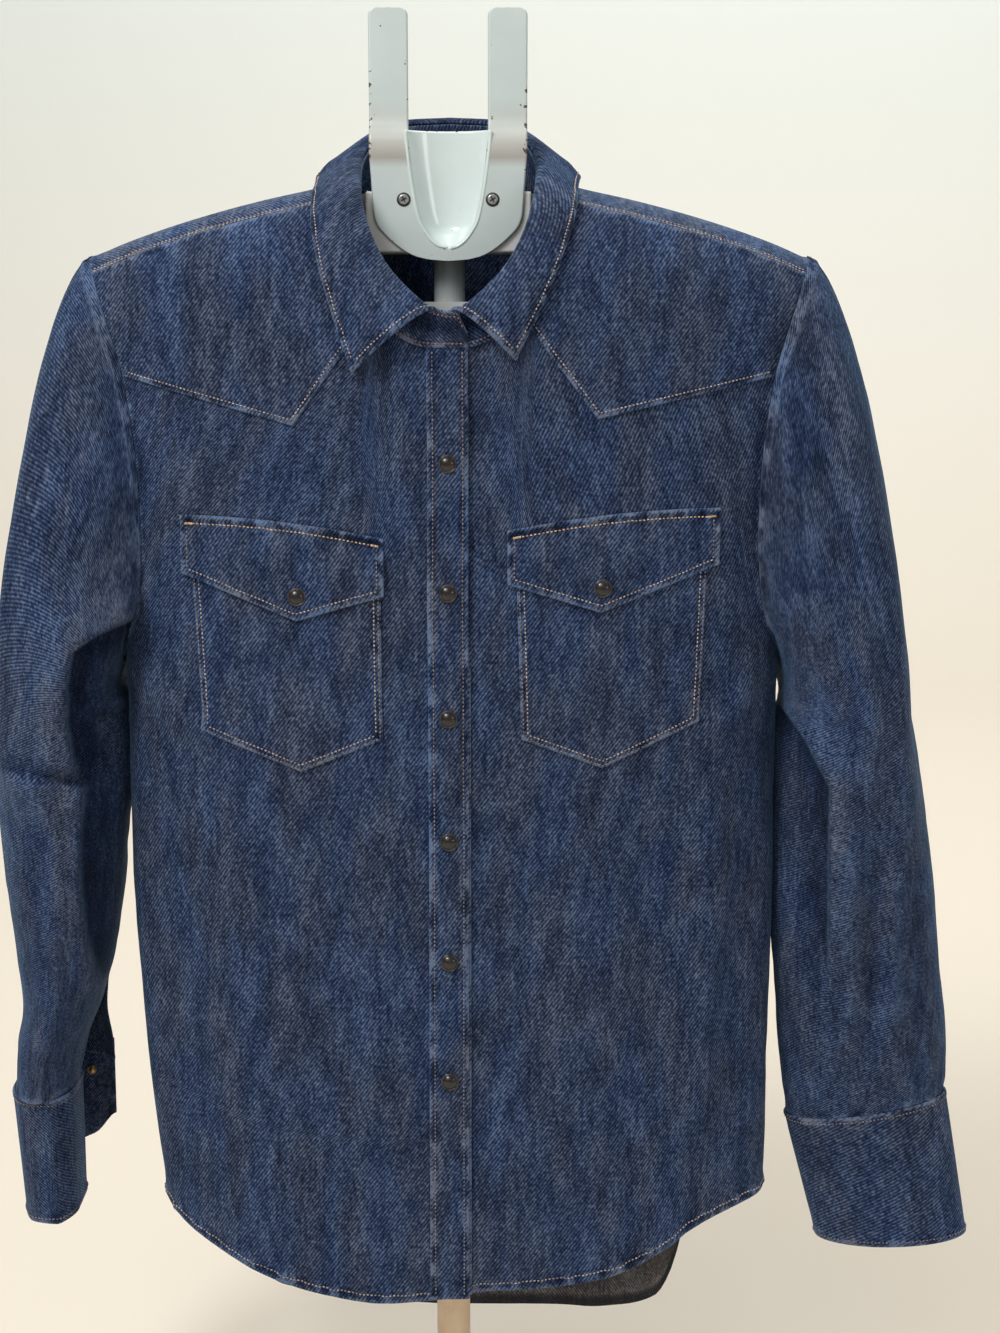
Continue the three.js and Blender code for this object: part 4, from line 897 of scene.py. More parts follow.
# The collar: a stand sewn to the neckline and a fall that rolls over it and turns down to two
# points in front, topstitched near its edge.
roll_at = columns(
    "bearing out y z",
    [
        (0, 0, 50, 866), (30, 27, 45, 864), (60, 45, 28, 854), (90, 53, 1, 835), (105, 51, -26, 818),
        (120, 46, -45, 798), (140, 35, -58, 775), (160, 18, -66, 756), (172, 7, -70, 748), (180, 0, -71, 746),
    ],
)
leaf_back = columns("bearing out y z", [(0, 0, 67, 820), (30, 37, 63, 821), (60, 65, 42, 824), (90, 80, 2, 826)])
leaf_front = {
    -1: columns("bearing out z", [(90, 80, 824), (112, 80, 806), (132, 75, 776), (152, 67, 747), (175, 55, 711)]),
    1: columns("bearing out z", [(90, 78, 824), (112, 76, 806), (132, 67, 777), (152, 57, 752), (178, 40, 718)]),
}
STAND_END, LEAF_ENDS, LEAF_CLEAR = 191, (-175, 178), 5.7


def roll_point(bearing):
    far = abs(bearing)
    return np.stack([np.sign(bearing) * roll_at["out"](np.minimum(far, 180)), roll_at["y"](far), roll_at["z"](far)], -1)


def stand_point(bearing, v):
    far, side = abs(bearing), np.sign(bearing)
    low, high = neckline(np.minimum(far, 180) * side), roll_point(np.minimum(far, 180) * side)
    low[..., 2] += 3 * SEAM + 2.1 * ramp(92, 112, far) * (1 - ramp(118, 140, far)) - 2.6 * ramp(118, 150, far)
    high[..., 2] -= mix(4.4, 0.6, ramp(150, 174, far))
    p = mix(low, high, v[..., None])
    p[..., 0] -= side * np.maximum(far - 180, 0) * 1.1
    p[..., 1] -= np.where(side < 0, 1.1, -1.1) * ramp(150, 176, far) + 2.0 * ramp(118, 150, far) * (1 - v)
    return p


u, v = np.meshgrid(even(-STAND_END, STAND_END, 170, 0.002), even(0, 1, 16, 0.03))
rounded = 0.55 * ramp(184, 191, abs(u)) ** 2
# The stand's front ends are painted darker across their middle: painted shade under the collar's points.
stand = cut_cloth(
    "collar_stand_cloth", stand_point(u, v * (1 - rounded)), (0, 0, 790), thick=1.3, flat=(u * 1.05, v * 30),
    faces_in=(denim_face, denim_face), seams=[("low", 2.2, 0.3, 0.25, 9), ("top", 2.2, 0.5, 0.3, 7)],
    wear_and_shade=-0.5 * ramp(140, 160, abs(u)) * np.exp(-(((v - 0.55) / 0.26) ** 2)),
)
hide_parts("collar_stand")


def leaf_edge(bearing):
    far, side = abs(bearing), np.where(bearing < 0, -1, 1)
    near = np.minimum(far, 90)
    behind = np.stack([side * leaf_back["out"](near), leaf_back["y"](near), leaf_back["z"](near)], -1)
    f = np.maximum(far, 90)
    out = np.where(side < 0, leaf_front[-1]["out"](f), leaf_front[1]["out"](f))
    z = np.where(side < 0, leaf_front[-1]["z"](f), leaf_front[1]["z"](f))
    x = side * out
    low = np.minimum(z, shoulder(abs(x)) - 0.01)
    p = body(-1, turn_of(x, low), low)
    p[..., 2] = z + 1.5 * (1 - ramp(96, 125, far))
    p[..., 1] -= LEAF_CLEAR * ramp(90, 112, far)
    t = np.where(far <= 88, 0.0, ramp(88, 104, far))
    return mix(behind, p, t[..., None])


def fall_point(bearing, v):
    start = roll_point(bearing)
    start[..., 2] -= 2.6
    end = leaf_edge(bearing)
    outward = np.stack([start[..., 0], start[..., 1] + 8, 0 * bearing], -1)
    outward /= np.linalg.norm(outward, axis=-1, keepdims=True)
    up = np.array([0, 0, 1.0])
    ahead = ramp(95, 140, abs(bearing))[..., None]
    rise = start + up * 11 + outward * 1.5
    rest = mix(end, start, 0.5) + outward * mix(7, 15, ahead) + np.concatenate([0 * ahead, -4 * ahead, mix(12, 7, ahead)], -1)
    v = v[..., None]
    w = 1 - v
    p = start * w**3 + rise * (3 * w * w * v) + rest * (3 * w * v * v) + end * v**3
    edge_x = NECK_HALF * clamp((p[..., 2] - NECK_FRONT) / 96) ** (1 / 3.2)
    on_front = ramp(-7, 1, abs(p[..., 0]) - edge_x) * ramp(88, 100, abs(bearing))
    most = body(-1, turn_of(p[..., 0], p[..., 2]), p[..., 2])[..., 1] - LEAF_CLEAR
    p[..., 1] = np.where(p[..., 1] > most, mix(p[..., 1], most, on_front), p[..., 1])
    return p


def weave_round_neck(skin):
    """Where the collar lies on its weave: plan distance back from each front end, and height."""
    run = np.hypot(np.diff(skin[..., 0], axis=1), np.diff(skin[..., 1], axis=1))
    run = np.concatenate([np.zeros((len(skin), 1)), np.cumsum(run, 1)], 1)
    half = skin.shape[1] // 2
    left = skin[:, :1, 0] - run
    right = skin[:, -1:, 0] + run[:, -1:] - run
    return np.where(np.arange(skin.shape[1]) < half, left, right), skin[..., 2]


u, v = np.meshgrid(even(*LEAF_ENDS, 200, 0.003), even(0, 1, 40, 0.01) ** 1.1)
skin = fall_point(u, v)
# Paler along the roll: a painted highlight where the light falls on the collar's roll.
fall = cut_cloth(
    "collar_fall_cloth", skin, (0, -8, 790), thick=1.5, flat=weave_round_neck(skin),
    faces_in=(denim_face, denim_face),
    seams=[("top", 3.4, 0.6, 0.45, 8), ("left", 3.2, 0.8, 0.65, 6), ("right", 3.2, 0.8, 0.65, 6)],
    wear_and_shade=0.22 * np.exp(-((v / 0.14) ** 2)),
)
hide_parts("collar_fall")


# The sleeves: one piece each, set into the armhole and seamed under the arm. The wearer's right
# one hangs open at its slit above the unfastened cuff.
SLEEVES = {
    -1: {"foot": 246, "tilt": 0, "rings": columns("z mid half deep fore", [
        (246, 260, 19.5, 50, 4), (274, 257, 21.5, 52, 2), (304, 249.5, 24, 55, 1), (336, 247, 29.5, 58, 0),
        (400, 246, 36.5, 63, -2), (450, 247.5, 39, 66, -2), (500, 247.5, 37.5, 69, -2)])},
    1: {"foot": 243, "tilt": 8, "rings": columns("z mid half deep fore", [
        (243, 267.5, 50.5, 26, 8), (262, 266.5, 52, 31, 8), (300, 263, 53.5, 37, 8), (336, 259.5, 52, 43, 7),
        (400, 256.5, 48.5, 51, 5), (450, 253.5, 44, 59, 3), (500, 248.5, 39.5, 67, 0)])},
}
SLEEVE_FOLDS = [
    # side, share round at the foot and at the head, from and to down the sleeve, half, rise
    (-1, 0.13, 0.11, 0.02, 0.45, 0.045, 5), (-1, 0.3, 0.12, 0.4, 0.58, 0.07, 5),
    (-1, 0.27, 0.22, 0.64, 0.95, 0.05, 4), (-1, 0.72, 0.78, 0.3, 0.9, 0.06, 5), (-1, 0.5, 0.5, 0.22, 0.64, 0.085, 8),
    (1, 0.17, 0.1, 0.02, 0.7, 0.045, 5), (1, 0.28, 0.36, 0.3, 0.8, 0.05, 5),
    (1, 0.75, 0.72, 0.3, 0.9, 0.06, 5), (1, 0.5, 0.5, 0.3, 0.85, 0.1, 5.5),
]
SETTING, HEAD_SHARE = 500, 0.42
GIRTH, SLEEVE_LONG = 330, 560  # used to measure creases on the flat sleeve
SLEEVE_CREASES = {
    # line of (millimetres round from the outer side, millimetres down), half width, rise
    -1: [([(220, 230), (250, 260), (280, 255)], 10, 3.0), ([(240, 330), (236, 420), (244, 520)], 10, 2.6)],
    1: [([(220, 240), (250, 270), (280, 262)], 10, 3.0), ([(240, 330), (236, 420), (244, 520)], 10, 2.6)],
}


FRONT_TUCKS = {
    # line of (x, z), fade on the raised side, fade on the low side, rise
    -1: [
        ([(-224, 462), (-228, 480), (-230, 500), (-229, 524), (-225, 545), (-212, 554), (-198, 560), (-178, 568), (-160, 574)], 22, 15, 13),
        ([(-216, 460), (-238, 466), (-256, 470), (-274, 474)], 20, 13, 6.5),
        ([(-221, 468), (-226, 416), (-225, 360), (-221, 300)], 16, 9, -8.5),
        ([(-258, 300), (-259, 276), (-262, 262)], 8, 6, 3.0),
    ],
    1: [
        ([(192, 526), (206, 505), (218, 488), (231, 462), (232, 428), (234, 372), (236, 320)], 17, 13, 9.5),
        ([(213, 700), (211, 640), (214, 590)], 10, 10, 2.4),
    ],
}
FRONT_RIDGES = {
    # line of (x, z), half width, rise
    -1: [
        ([(-247, 758), (-250, 716), (-252, 670)], 5, 2.6),
        ([(-192, 552), (-198, 520), (-196, 480)], 3, 2.4),
        ([(-240, 640), (-243, 590), (-240, 540)], 9, 2.6),
        ([(-262, 640), (-266, 560), (-266, 500)], 7, -2.2),
        ([(-236, 440), (-240, 380), (-240, 310)], 7, 2.6),
        ([(-252, 450), (-256, 380), (-254, 300)], 6, -2.2),
        ([(-207, 440), (-210, 380), (-213, 330)], 6, 2.4),
    ],
    1: [
        ([(225, 752), (232, 710), (238, 672), (245, 616), (250, 554), (254, 516), (256, 466), (259, 416)], 5, 6.0),
        ([(214, 740), (219, 680), (226, 616), (232, 560)], 6, -3.0),
        ([(240, 740), (252, 672), (262, 600), (266, 520)], 7, -2.6),
        ([(246, 440), (247, 370), (250, 290)], 6, 3.4),
        ([(258, 450), (260, 370), (264, 280)], 5, -3.6),
        ([(271, 430), (274, 350), (279, 268)], 6, 3.2),
        ([(286, 430), (290, 340), (296, 268)], 6, -2.6),
        ([(240, 352), (234, 312), (228, 268)], 2.6, 2.2),
        ([(248, 330), (242, 296), (240, 262)], 3.5, 2.4),
        ([(214, 420), (212, 360), (216, 300)], 7, 2.0),
    ],
}


def armhole_point(side, around):
    front = around <= 0.5
    share = np.where(front, around / 0.5, (1 - around) / 0.5)
    z = 779.5 - (779.5 - UNDERARM) * ((1 - np.cos(np.pi * share)) / 2)
    return body(np.where(front, -1.0, 1.0), side * reach(z), z)


def sleeve_skin(side, u, v):
    rings, tilt, foot = SLEEVES[side]["rings"], SLEEVES[side]["tilt"], SLEEVES[side]["foot"]
    around = u % 1.0

    def level(z):
        a = around * 2 * np.pi
        x = side * (rings["mid"](z) + rings["half"](z) * np.cos(a))
        y = -rings["fore"](z) - rings["deep"](z) * np.sin(a)
        return np.stack([x, y, z + tilt * np.cos(a) * (1 - ramp(foot, foot + 90, z))], -1)

    t = clamp(v / HEAD_SHARE)[..., None]
    start = armhole_point(side, around)
    drop = start[..., 2] - SETTING
    start[..., 0] += side * 0.4
    to = level(np.full(u.shape, float(SETTING)))
    top = np.maximum(0, np.cos(2 * np.pi * around))
    forward = np.sin(2 * np.pi * around)
    under = np.maximum(0, -np.cos(2 * np.pi * around)) ** 2
    leave = np.stack([side * (52 + 45 * top - 44 * under), -62 * forward, -0.16 * drop - 20 * under], -1)
    arrive = np.stack([side * (4 + 16 * top), -6 * forward, -0.95 * drop], -1)
    head = start * (2 * t**3 - 3 * t**2 + 1) + leave * (t**3 - 2 * t**2 + t)
    head = head + to * (3 * t**2 - 2 * t**3) + arrive * (t**3 - t**2)
    tube = level(mix(SETTING, foot, (v - HEAD_SHARE) / (1 - HEAD_SHARE)))
    p = np.where((v < HEAD_SHARE)[..., None], head, tube)
    away = np.stack([side * np.cos(around * 2 * np.pi), -np.sin(around * 2 * np.pi), 0 * around], -1)
    for which, at_foot, at_head, low, high, half, rise in SLEEVE_FOLDS:
        if which != side:
            continue
        centre = mix(at_head, at_foot, clamp((v - low) / (high - low)))
        off = abs(around - centre)
        off = np.minimum(off, 1 - off) / half
        long = high - low
        along = ramp(low, low + long * 0.35, v) * (1 - ramp(high - long * 0.35, high, v))
        p = p + away * (rise * np.exp(-off * off) * along)[..., None]
    round_mm, down_mm = around * GIRTH, v * SLEEVE_LONG
    rise = creased(round_mm, down_mm, SLEEVE_CREASES[side])
    rise = rise + 0.7 * mottle(round_mm / 33, down_mm / 52, 30) + 0.3 * mottle(round_mm / 11, down_mm / 15, 31)
    gather = np.exp(-(((1 - v) * SLEEVE_LONG / 26) ** 2)) * 0.9 * mottle(round_mm / 5.5, down_mm / 40, 32)
    ease = np.exp(-((v * SLEEVE_LONG / 20) ** 2)) * 0.5 * mottle(round_mm / 8, down_mm / 40, 33)
    cap = 1.6 * np.exp(-(((v * SLEEVE_LONG - 9) / 6) ** 2)) * (1 - ramp(0.2, 0.36, np.minimum(around, 1 - around)))
    hold = ramp(0.0, 0.02, v)
    facing = ramp(-0.15, 0.45, np.sin(around * 2 * np.pi)) * ramp(0.0, 0.05, v) * (1 - ramp(0.97, 1.0, v))
    shown = stepped(p[..., 0], p[..., 2], FRONT_TUCKS[side]) + creased(p[..., 0], p[..., 2], FRONT_RIDGES[side])
    p = p + np.array([-0.25 * side, -1.0, 0]) * (shown * facing)[..., None]
    # The sleeve's colour marks: a paler pressed line at the top of the sleeve head, painted highlight along the raised
    # folds, and stronger painted shade in the hollows beneath them.
    pressed = 0.35 * np.exp(-(((v * SLEEVE_LONG - 11) / 4) ** 2)) * (1 - ramp(0.2, 0.36, np.minimum(around, 1 - around)))
    wear_and_shade = pressed + facing * np.where(shown > 0, 0.16, 0.4) * clamp(shown / 8, -1, 1)
    return wear_and_shade, p + away * ((rise * ramp(0.0, 0.08, v) * (1 - ramp(0.985, 1, v)) + gather + ease + cap) * hold)[..., None]


down = even(0, 1, 214, 0.002)
u, v = np.meshgrid(np.arange(138) / 138, down)
wear_and_shade, skin = sleeve_skin(1, u, v)
sleeve_left = cut_cloth(
    "sleeve_left_cloth", skin, (262, 0, 500), wear_and_shade=wear_and_shade, thick=1.1, closed=True,
    flat=(-GIRTH * u, -SLEEVE_LONG * v), faces_in=(denim_sleeve, denim_inside),
    seams=[("low", 3.0, 0.9, 0.5, 11), ("top", 3.0, 0.3, 0.3, 8)],
)
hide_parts("sleeve_left")

SLIT = {"at": 0.56, "top": 0.85, "spread": 17}
DRAWN_UP = 12  # how much higher the unfastened cuff hangs
u, v = np.meshgrid(even(0.0016, 0.9984, 138, 0.004), down)
wear_and_shade, skin = sleeve_skin(-1, SLIT["at"] + u, v)
opened = ramp(SLIT["top"], 1, v)
skin[..., 0] += SLIT["spread"] * opened * (1 - ramp(0.0, 0.14, u)) - 3 * opened * ramp(0.9, 1, u)
skin[..., 1] += 10 * opened * (1 - ramp(0.0, 0.14, u))
skin[..., 2] += DRAWN_UP * (1 - ramp(246, 420, skin[..., 2]))
sleeve_right = cut_cloth(
    "sleeve_right_cloth", skin, (-262, 0, 500), wear_and_shade=wear_and_shade, thick=1.1,
    flat=(GIRTH * u, -SLEEVE_LONG * v), faces_in=(denim_sleeve, denim_face),
    seams=[("low", 3.0, 0.9, 0.5, 11), ("top", 3.0, 0.3, 0.3, 8)],
)
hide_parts("sleeve_right")


# The cuffs: double bands, topstitched all round. The wearer's left is snapped shut behind; the
# right is unfastened, folded round behind on the inner side, and its free end stands out.
CUFF_DEEP = 84

u, v = np.meshgrid(even(0, 1, 128, 0.004), even(0, 1, 34, 0.012))
a = (0.66 + 1.09 * u) * 2 * np.pi
under = 2.7 * (1 - ramp(0.0, 0.14, u))
z = mix(243 - 2 * SEAM, 243 - CUFF_DEEP - 5, v)
skin = np.stack([
    267.5 + 19 * v + (mix(51.5, 48.5, v) - under) * np.cos(a),
    -8 - 3 * v - (mix(27, 24, v) - under) * np.sin(a),
    z + 8 * np.cos(a) * (1 - v * 0.8),
], -1)
cuff_left = cut_cloth(
    "cuff_left_cloth", skin, (277, -9, 200), thick=1.8, lift=0.6, flat=(-260 * u, -88 * v),
    faces_in=(denim_sleeve, denim_face),
    seams=[("low", 2.2, 0.5, 0.35, 9), ("top", 4.0, 0.5, 0.3, 9), ("left", 3, 0.3, 0.2, 9), ("right", 3, 0.3, 0.2, 9)],
)
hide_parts("cuff_left")

open_cuff = columns("share x y", [
    (0, -250, 20), (0.12, -241, 0), (0.24, -240.5, -28), (0.36, -252, -50), (0.48, -270, -46),
    (0.6, -280.5, -22), (0.72, -281, 8), (0.84, -273, 37), (0.93, -254, 53), (1, -232, 58)])
u, v = np.meshgrid(even(0, 1, 112, 0.004), even(0, 1, 34, 0.012))
high = 246 + DRAWN_UP - 0.4 + 3 * ramp(0.55, 1, u)
corner_up = 12 * (ramp(0.94, 1.0, u) ** 2 + (1 - ramp(0.0, 0.06, u)) ** 2)
skin = np.stack([
    open_cuff["x"](u) + 6 * v * ramp(0.2, 0.6, u) * (1 - ramp(0.8, 1, u)),
    open_cuff["y"](u),
    high - (CUFF_DEEP - 3 - corner_up) * v + 16 * v * ramp(0.75, 1, u),
], -1)
cuff_right = cut_cloth(
    "cuff_right_cloth", skin, (-262, 5, 200), thick=1.8, flat=(250 * u, -84 * v),
    faces_in=(denim_sleeve, denim_face),
    seams=[("low", 2.2, 0.5, 0.35, 9), ("top", 4.0, 0.5, 0.3, 9), ("left", 3, 0.3, 0.2, 9), ("right", 3, 0.3, 0.2, 9)],
)
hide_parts("cuff_right")


# The topstitching: thick tan thread, each stitch a small rounded bar that dips at both ends,
# and orange bar tacks at the ends of the rows along the tops of the flaps.
# The second thread colour is a darker, shaded copy of the tan: painted shade on the rows sewn with it.
TAN, SHADED_TAN, ORANGE, RUST = (0.44, 0.345, 0.29), (0.20, 0.165, 0.17), (0.62, 0.42, 0.25), (0.26, 0.13, 0.08)
STITCH, THREAD = 2.4, 0.45  # pitch and thread radius


def sewing_thread(name, colour):
    material = plain(name, colour, 0.65)
    tree = material.node_tree
    tone = node(tree, "ShaderNodeAttribute", -700, 0, attribute_name="tone")
    fade = node(tree, "ShaderNodeValToRGB", -400, 0)
    fade.color_ramp.elements[0].color = (*[c * 0.55 for c in colour], 1)
    fade.color_ramp.elements[1].color = (*[min(1, c * 1.35) for c in colour], 1)
    tree.links.new(tone.outputs["Fac"], fade.inputs["Fac"])
    tree.links.new(fade.outputs["Color"], tree.nodes["Principled BSDF"].inputs["Base Color"])
    tree.nodes["Principled BSDF"].inputs["Sheen Weight"].default_value = 0.1
    return material


def seam_line(name, side, inset, trim):
    """Points and normals on a piece at one distance in from one of its edges."""
    piece = PIECES[name]
    far, n, skin = piece["far"], piece["n"], piece["skin"]
    swap = (lambda g: g) if side in ("low", "top") else (lambda g: np.swapaxes(g, 0, 1))
    d, n, skin = swap(far[side]), swap(n), swap(skin)
    before, after = (far["left"], far["right"]) if side in ("low", "top") else (far["low"], far["top"])
    before, after = swap(before), swap(after)
    backwards = side in ("top", "right")
    line = []
    for i in range(d.shape[1]):
        column = d[:, i][::-1] if backwards else d[:, i]
        at = np.interp(inset, column, np.arange(len(column)))
        at = len(column) - 1 - at if backwards else at
        j = min(int(at), len(column) - 2)
        t = at - j
        if not piece["closed"]:
            if mix(before[j, i], before[j + 1, i], t) < trim or mix(after[j, i], after[j + 1, i], t) < trim:
                continue
        line.append(np.concatenate([mix(skin[j, i], skin[j + 1, i], t), mix(n[j, i], n[j + 1, i], t)]))
    return np.array(line)


def stitches_on(line, pitch=STITCH, thread=THREAD, sunk=0.12, crosswise=0.0):
    """Centres, directions and sizes of the stitches on a line of points and normals."""
    step = np.linalg.norm(np.diff(line[:, :3], axis=0), axis=1)
    run = np.concatenate([[0], np.cumsum(step)])
    count = max(2, int(run[-1] / pitch))
    s = (np.arange(count) + 0.5) * run[-1] / count
    at = lambda w: np.stack([np.interp(w, run, line[:, k]) for k in range(6)], 1)
    here, ahead, behind = at(s), at(s + 0.4), at(s - 0.4)
    along = ahead[:, :3] - behind[:, :3]
    along /= np.linalg.norm(along, axis=1, keepdims=True)
    up = here[:, 3:] - np.sum(here[:, 3:] * along, 1, keepdims=True) * along
    up /= np.linalg.norm(up, axis=1, keepdims=True)
    side = np.cross(up, along)
    if crosswise:
        along, side = side, -along
    lean = rng.normal(0, 0.06, (count, 1))
    along = along + side * lean
    length = crosswise if crosswise else 0.7 * run[-1] / count
    return here[:, :3] + up * (thread * 0.55 - sunk), along, up, np.full(count, length), np.full(count, thread)


def make_thread(name, rows, material):
    """One mesh of all the stitches in rows: each has two tips and two rings of five points."""
    centre, along, up, length, thread = (np.concatenate(part) for part in zip(*rows))
    side = np.cross(up, along)
    count = len(centre)
    points = np.zeros((count, 12, 3))
    half = (length / 2)[:, None]
    radius = thread[:, None]
    points[:, 0] = centre - along * half - up * radius * 0.8
    points[:, 11] = centre + along * half - up * radius * 0.8
    for ring, shift in ((1, -0.55), (6, 0.55)):
        for k in range(5):
            a = 2 * math.pi * k / 5 + math.pi / 2
            points[:, ring + k] = centre + along * half * shift + (side * math.cos(a) + up * math.sin(a)) * radius
    faces = []
    for k in range(5):
        m = (k + 1) % 5
        faces += [(0, 1 + m, 1 + k), (1 + k, 1 + m, 6 + m), (1 + k, 6 + m, 6 + k), (6 + k, 6 + m, 11)]
    faces = (np.array(faces)[None] + 12 * np.arange(count)[:, None, None]).reshape(-1, 3)
    mesh = bpy.data.meshes.new(name)
    mesh.from_pydata((points.reshape(-1, 3) / 1000).tolist(), [], faces.tolist())
    mesh.shade_smooth()
    tone = mesh.attributes.new("tone", "FLOAT", "POINT")
    tone.data.foreach_set("value", np.repeat(rng.random(count), 12).astype(np.float32))
    thread = bpy.data.objects.new(name, mesh)
    bpy.context.collection.objects.link(thread)
    thread.data.materials.append(material)
    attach(thread, "root")
    return thread


tan_thread = sewing_thread("thread_tan", TAN)
shaded_thread = sewing_thread("thread_tan_shaded", SHADED_TAN)
rust_thread = sewing_thread("thread_rust", RUST)
orange_thread = sewing_thread("thread_orange", ORANGE)

SEAMS = {
    "stitches_yokes": (tan_thread, [
        ("front_yoke_right_cloth", "low", 3.4, 1), ("front_yoke_left_cloth", "low", 3.4, 1),
        ("back_yoke_cloth", "left", 1.0, 1), ("back_yoke_cloth", "left", 4.0, 1),
        ("back_yoke_cloth", "right", 1.0, 1), ("back_yoke_cloth", "right", 4.0, 1),
    ]),
    "stitches_placket": (shaded_thread, [
        ("placket_cloth", "left", 3.2, 1), ("placket_cloth", "right", 3.2, 1),
    ]),
    "stitches_pockets": (tan_thread, [
        (f"{name}_cloth", side, 4.0, 4.0) for name in ("pocket_right", "pocket_left") for side in ("left", "right", "top")
    ]),
    "stitches_pocket_edges": (shaded_thread, [
        (f"{name}_cloth", side, 1.2, 1.2) for name in ("pocket_right", "pocket_left") for side in ("left", "right", "top")
    ]),
    "stitches_flaps": (tan_thread, [(f"{name}_cloth", "top", 4.0, 3.6) for name in ("flap_right", "flap_left")]),
    "stitches_flap_sides": (shaded_thread, [
        (f"{name}_cloth", side, 3.8, 3.8) for name in ("flap_right", "flap_left") for side in ("left", "right")
    ]),
    "stitches_flap_tops": (orange_thread, [("flap_right_cloth", "low", 5.2, 2), ("flap_left_cloth", "low", 5.2, 2)]),
    "stitches_collar": (tan_thread, [
        ("collar_fall_cloth", "top", 3.6, 3.6), ("collar_fall_cloth", "left", 3.6, 3.6),
        ("collar_fall_cloth", "right", 3.6, 3.6),
    ]),
    "stitches_stand": (rust_thread, [("collar_stand_cloth", "low", 2.0, 2), ("collar_stand_cloth", "top", 3.0, 2)]),
    "stitches_hems": (tan_thread, [
        ("front_right_cloth", "low", 5.2, 1), ("front_left_cloth", "low", 5.2, 1), ("back_cloth", "low", 5.2, 1),
    ]),
    "stitches_cuffs": (shaded_thread, [
        (f"{name}_cloth", side, 3.0, 3.0) for name in ("cuff_right", "cuff_left") for side in ("low", "top", "left", "right")
    ]),
}
for name, (material, lines) in SEAMS.items():
    rows = [stitches_on(seam_line(*line)) for line in lines]
    if name == "stitches_flap_tops":
        for line in lines:
            whole = seam_line(*line)
            for end in (whole[:6], whole[-6:]):
                rows.append(stitches_on(end, pitch=0.62, thread=0.34, sunk=0.0, crosswise=1.7))
    make_thread(name, rows, material)


# The snaps: dark pearl caps pressed into gunmetal rims. Each cap is turned round its own centre
# and faces out of the cloth.
def glossy(name, colour, second, size_mm, roughness, metallic=0.0, coat=0.0):
    """A smooth finish whose colour drifts a little between two shades."""
    material = plain(name, colour, roughness)
    tree = material.node_tree
    shader = tree.nodes["Principled BSDF"]
    place = node(tree, "ShaderNodeTexCoord", -900, 0)
    drift = node(tree, "ShaderNodeTexNoise", -700, 0)
    drift.inputs["Scale"].default_value = 1000 / size_mm
    drift.inputs["Detail"].default_value = 3.0
    blend = node(tree, "ShaderNodeValToRGB", -400, 0)
    blend.color_ramp.elements[0].position, blend.color_ramp.elements[0].color = 0.35, (*colour, 1)
    blend.color_ramp.elements[1].position, blend.color_ramp.elements[1].color = 0.65, (*second, 1)
    tree.links.new(place.outputs["Object"], drift.inputs["Vector"])
    tree.links.new(drift.outputs["Fac"], blend.inputs["Fac"])
    tree.links.new(blend.outputs["Color"], shader.inputs["Base Color"])
    shader.inputs["Metallic"].default_value = metallic
    shader.inputs["Coat Weight"].default_value = coat
    shader.inputs["Coat Roughness"].default_value = 0.05
    return material


snap_pearl = glossy("snap_pearl", (0.006, 0.005, 0.006), (0.016, 0.011, 0.011), 3, 0.24, coat=0.25)
snap_rim = glossy("snap_rim", (0.05, 0.045, 0.045), (0.11, 0.10, 0.095), 2, 0.3, metallic=0.8)
brass = glossy("stud_brass", (0.38, 0.25, 0.10), (0.5, 0.34, 0.15), 2, 0.35, metallic=0.9)
CAP = [(0, 2.75), (1.0, 2.68), (2.0, 2.48), (3.0, 2.08), (3.8, 1.55), (4.3, 1.05), (4.45, 0.8), (4.6, 0.95), (4.95, 1.15),
       (5.3, 1.0), (5.45, 0.6), (5.4, 0.0), (0, 0.0)]


def turned(name, profile, centre, faces_way, size=1.0, around=36, rim_from=6, finishes=None):
    """A turned piece: rows of radius and height, spun round the direction that it faces."""
    way = np.array(faces_way, float)
    way /= np.linalg.norm(way)
    across = np.cross(way, (0, 0, 1.0) if abs(way[2]) < 0.9 else (1.0, 0, 0))
    across /= np.linalg.norm(across)
    other = np.cross(way, across)
    points, faces, kind = [np.array(centre) + way * profile[0][1] * size], [], []
    inner = profile[1:-1]
    for radius, high in inner:
        for i in range(around):
            a = 2 * math.pi * i / around
            points.append(np.array(centre) + (way * high + (across * math.cos(a) + other * math.sin(a)) * radius) * size)
    points.append(np.array(centre) + way * profile[-1][1] * size)
    last = len(points) - 1
    for i in range(around):
        j = (i + 1) % around
        faces.append((0, 1 + i, 1 + j))
        kind.append(0)
        for ring in range(len(inner) - 1):
            a, b = 1 + ring * around, 1 + (ring + 1) * around
            faces.append((a + i, b + i, b + j, a + j))
            kind.append(0 if ring < rim_from - 1 else 1)
        a = 1 + (len(inner) - 1) * around
        faces.append((a + j, a + i, last))
        kind.append(1)
    mesh = bpy.data.meshes.new(name)
    mesh.from_pydata([tuple(p / 1000) for p in points], [], faces)
    mesh.polygons.foreach_set("material_index", np.array(kind, np.int32))
    mesh.shade_smooth()
    mesh.validate()
    made = bpy.data.objects.new(name, mesh)
    bpy.context.collection.objects.link(made)
    for finish in finishes or (snap_pearl, snap_rim):
        made.data.materials.append(finish)
    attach(made, "root")
    return made


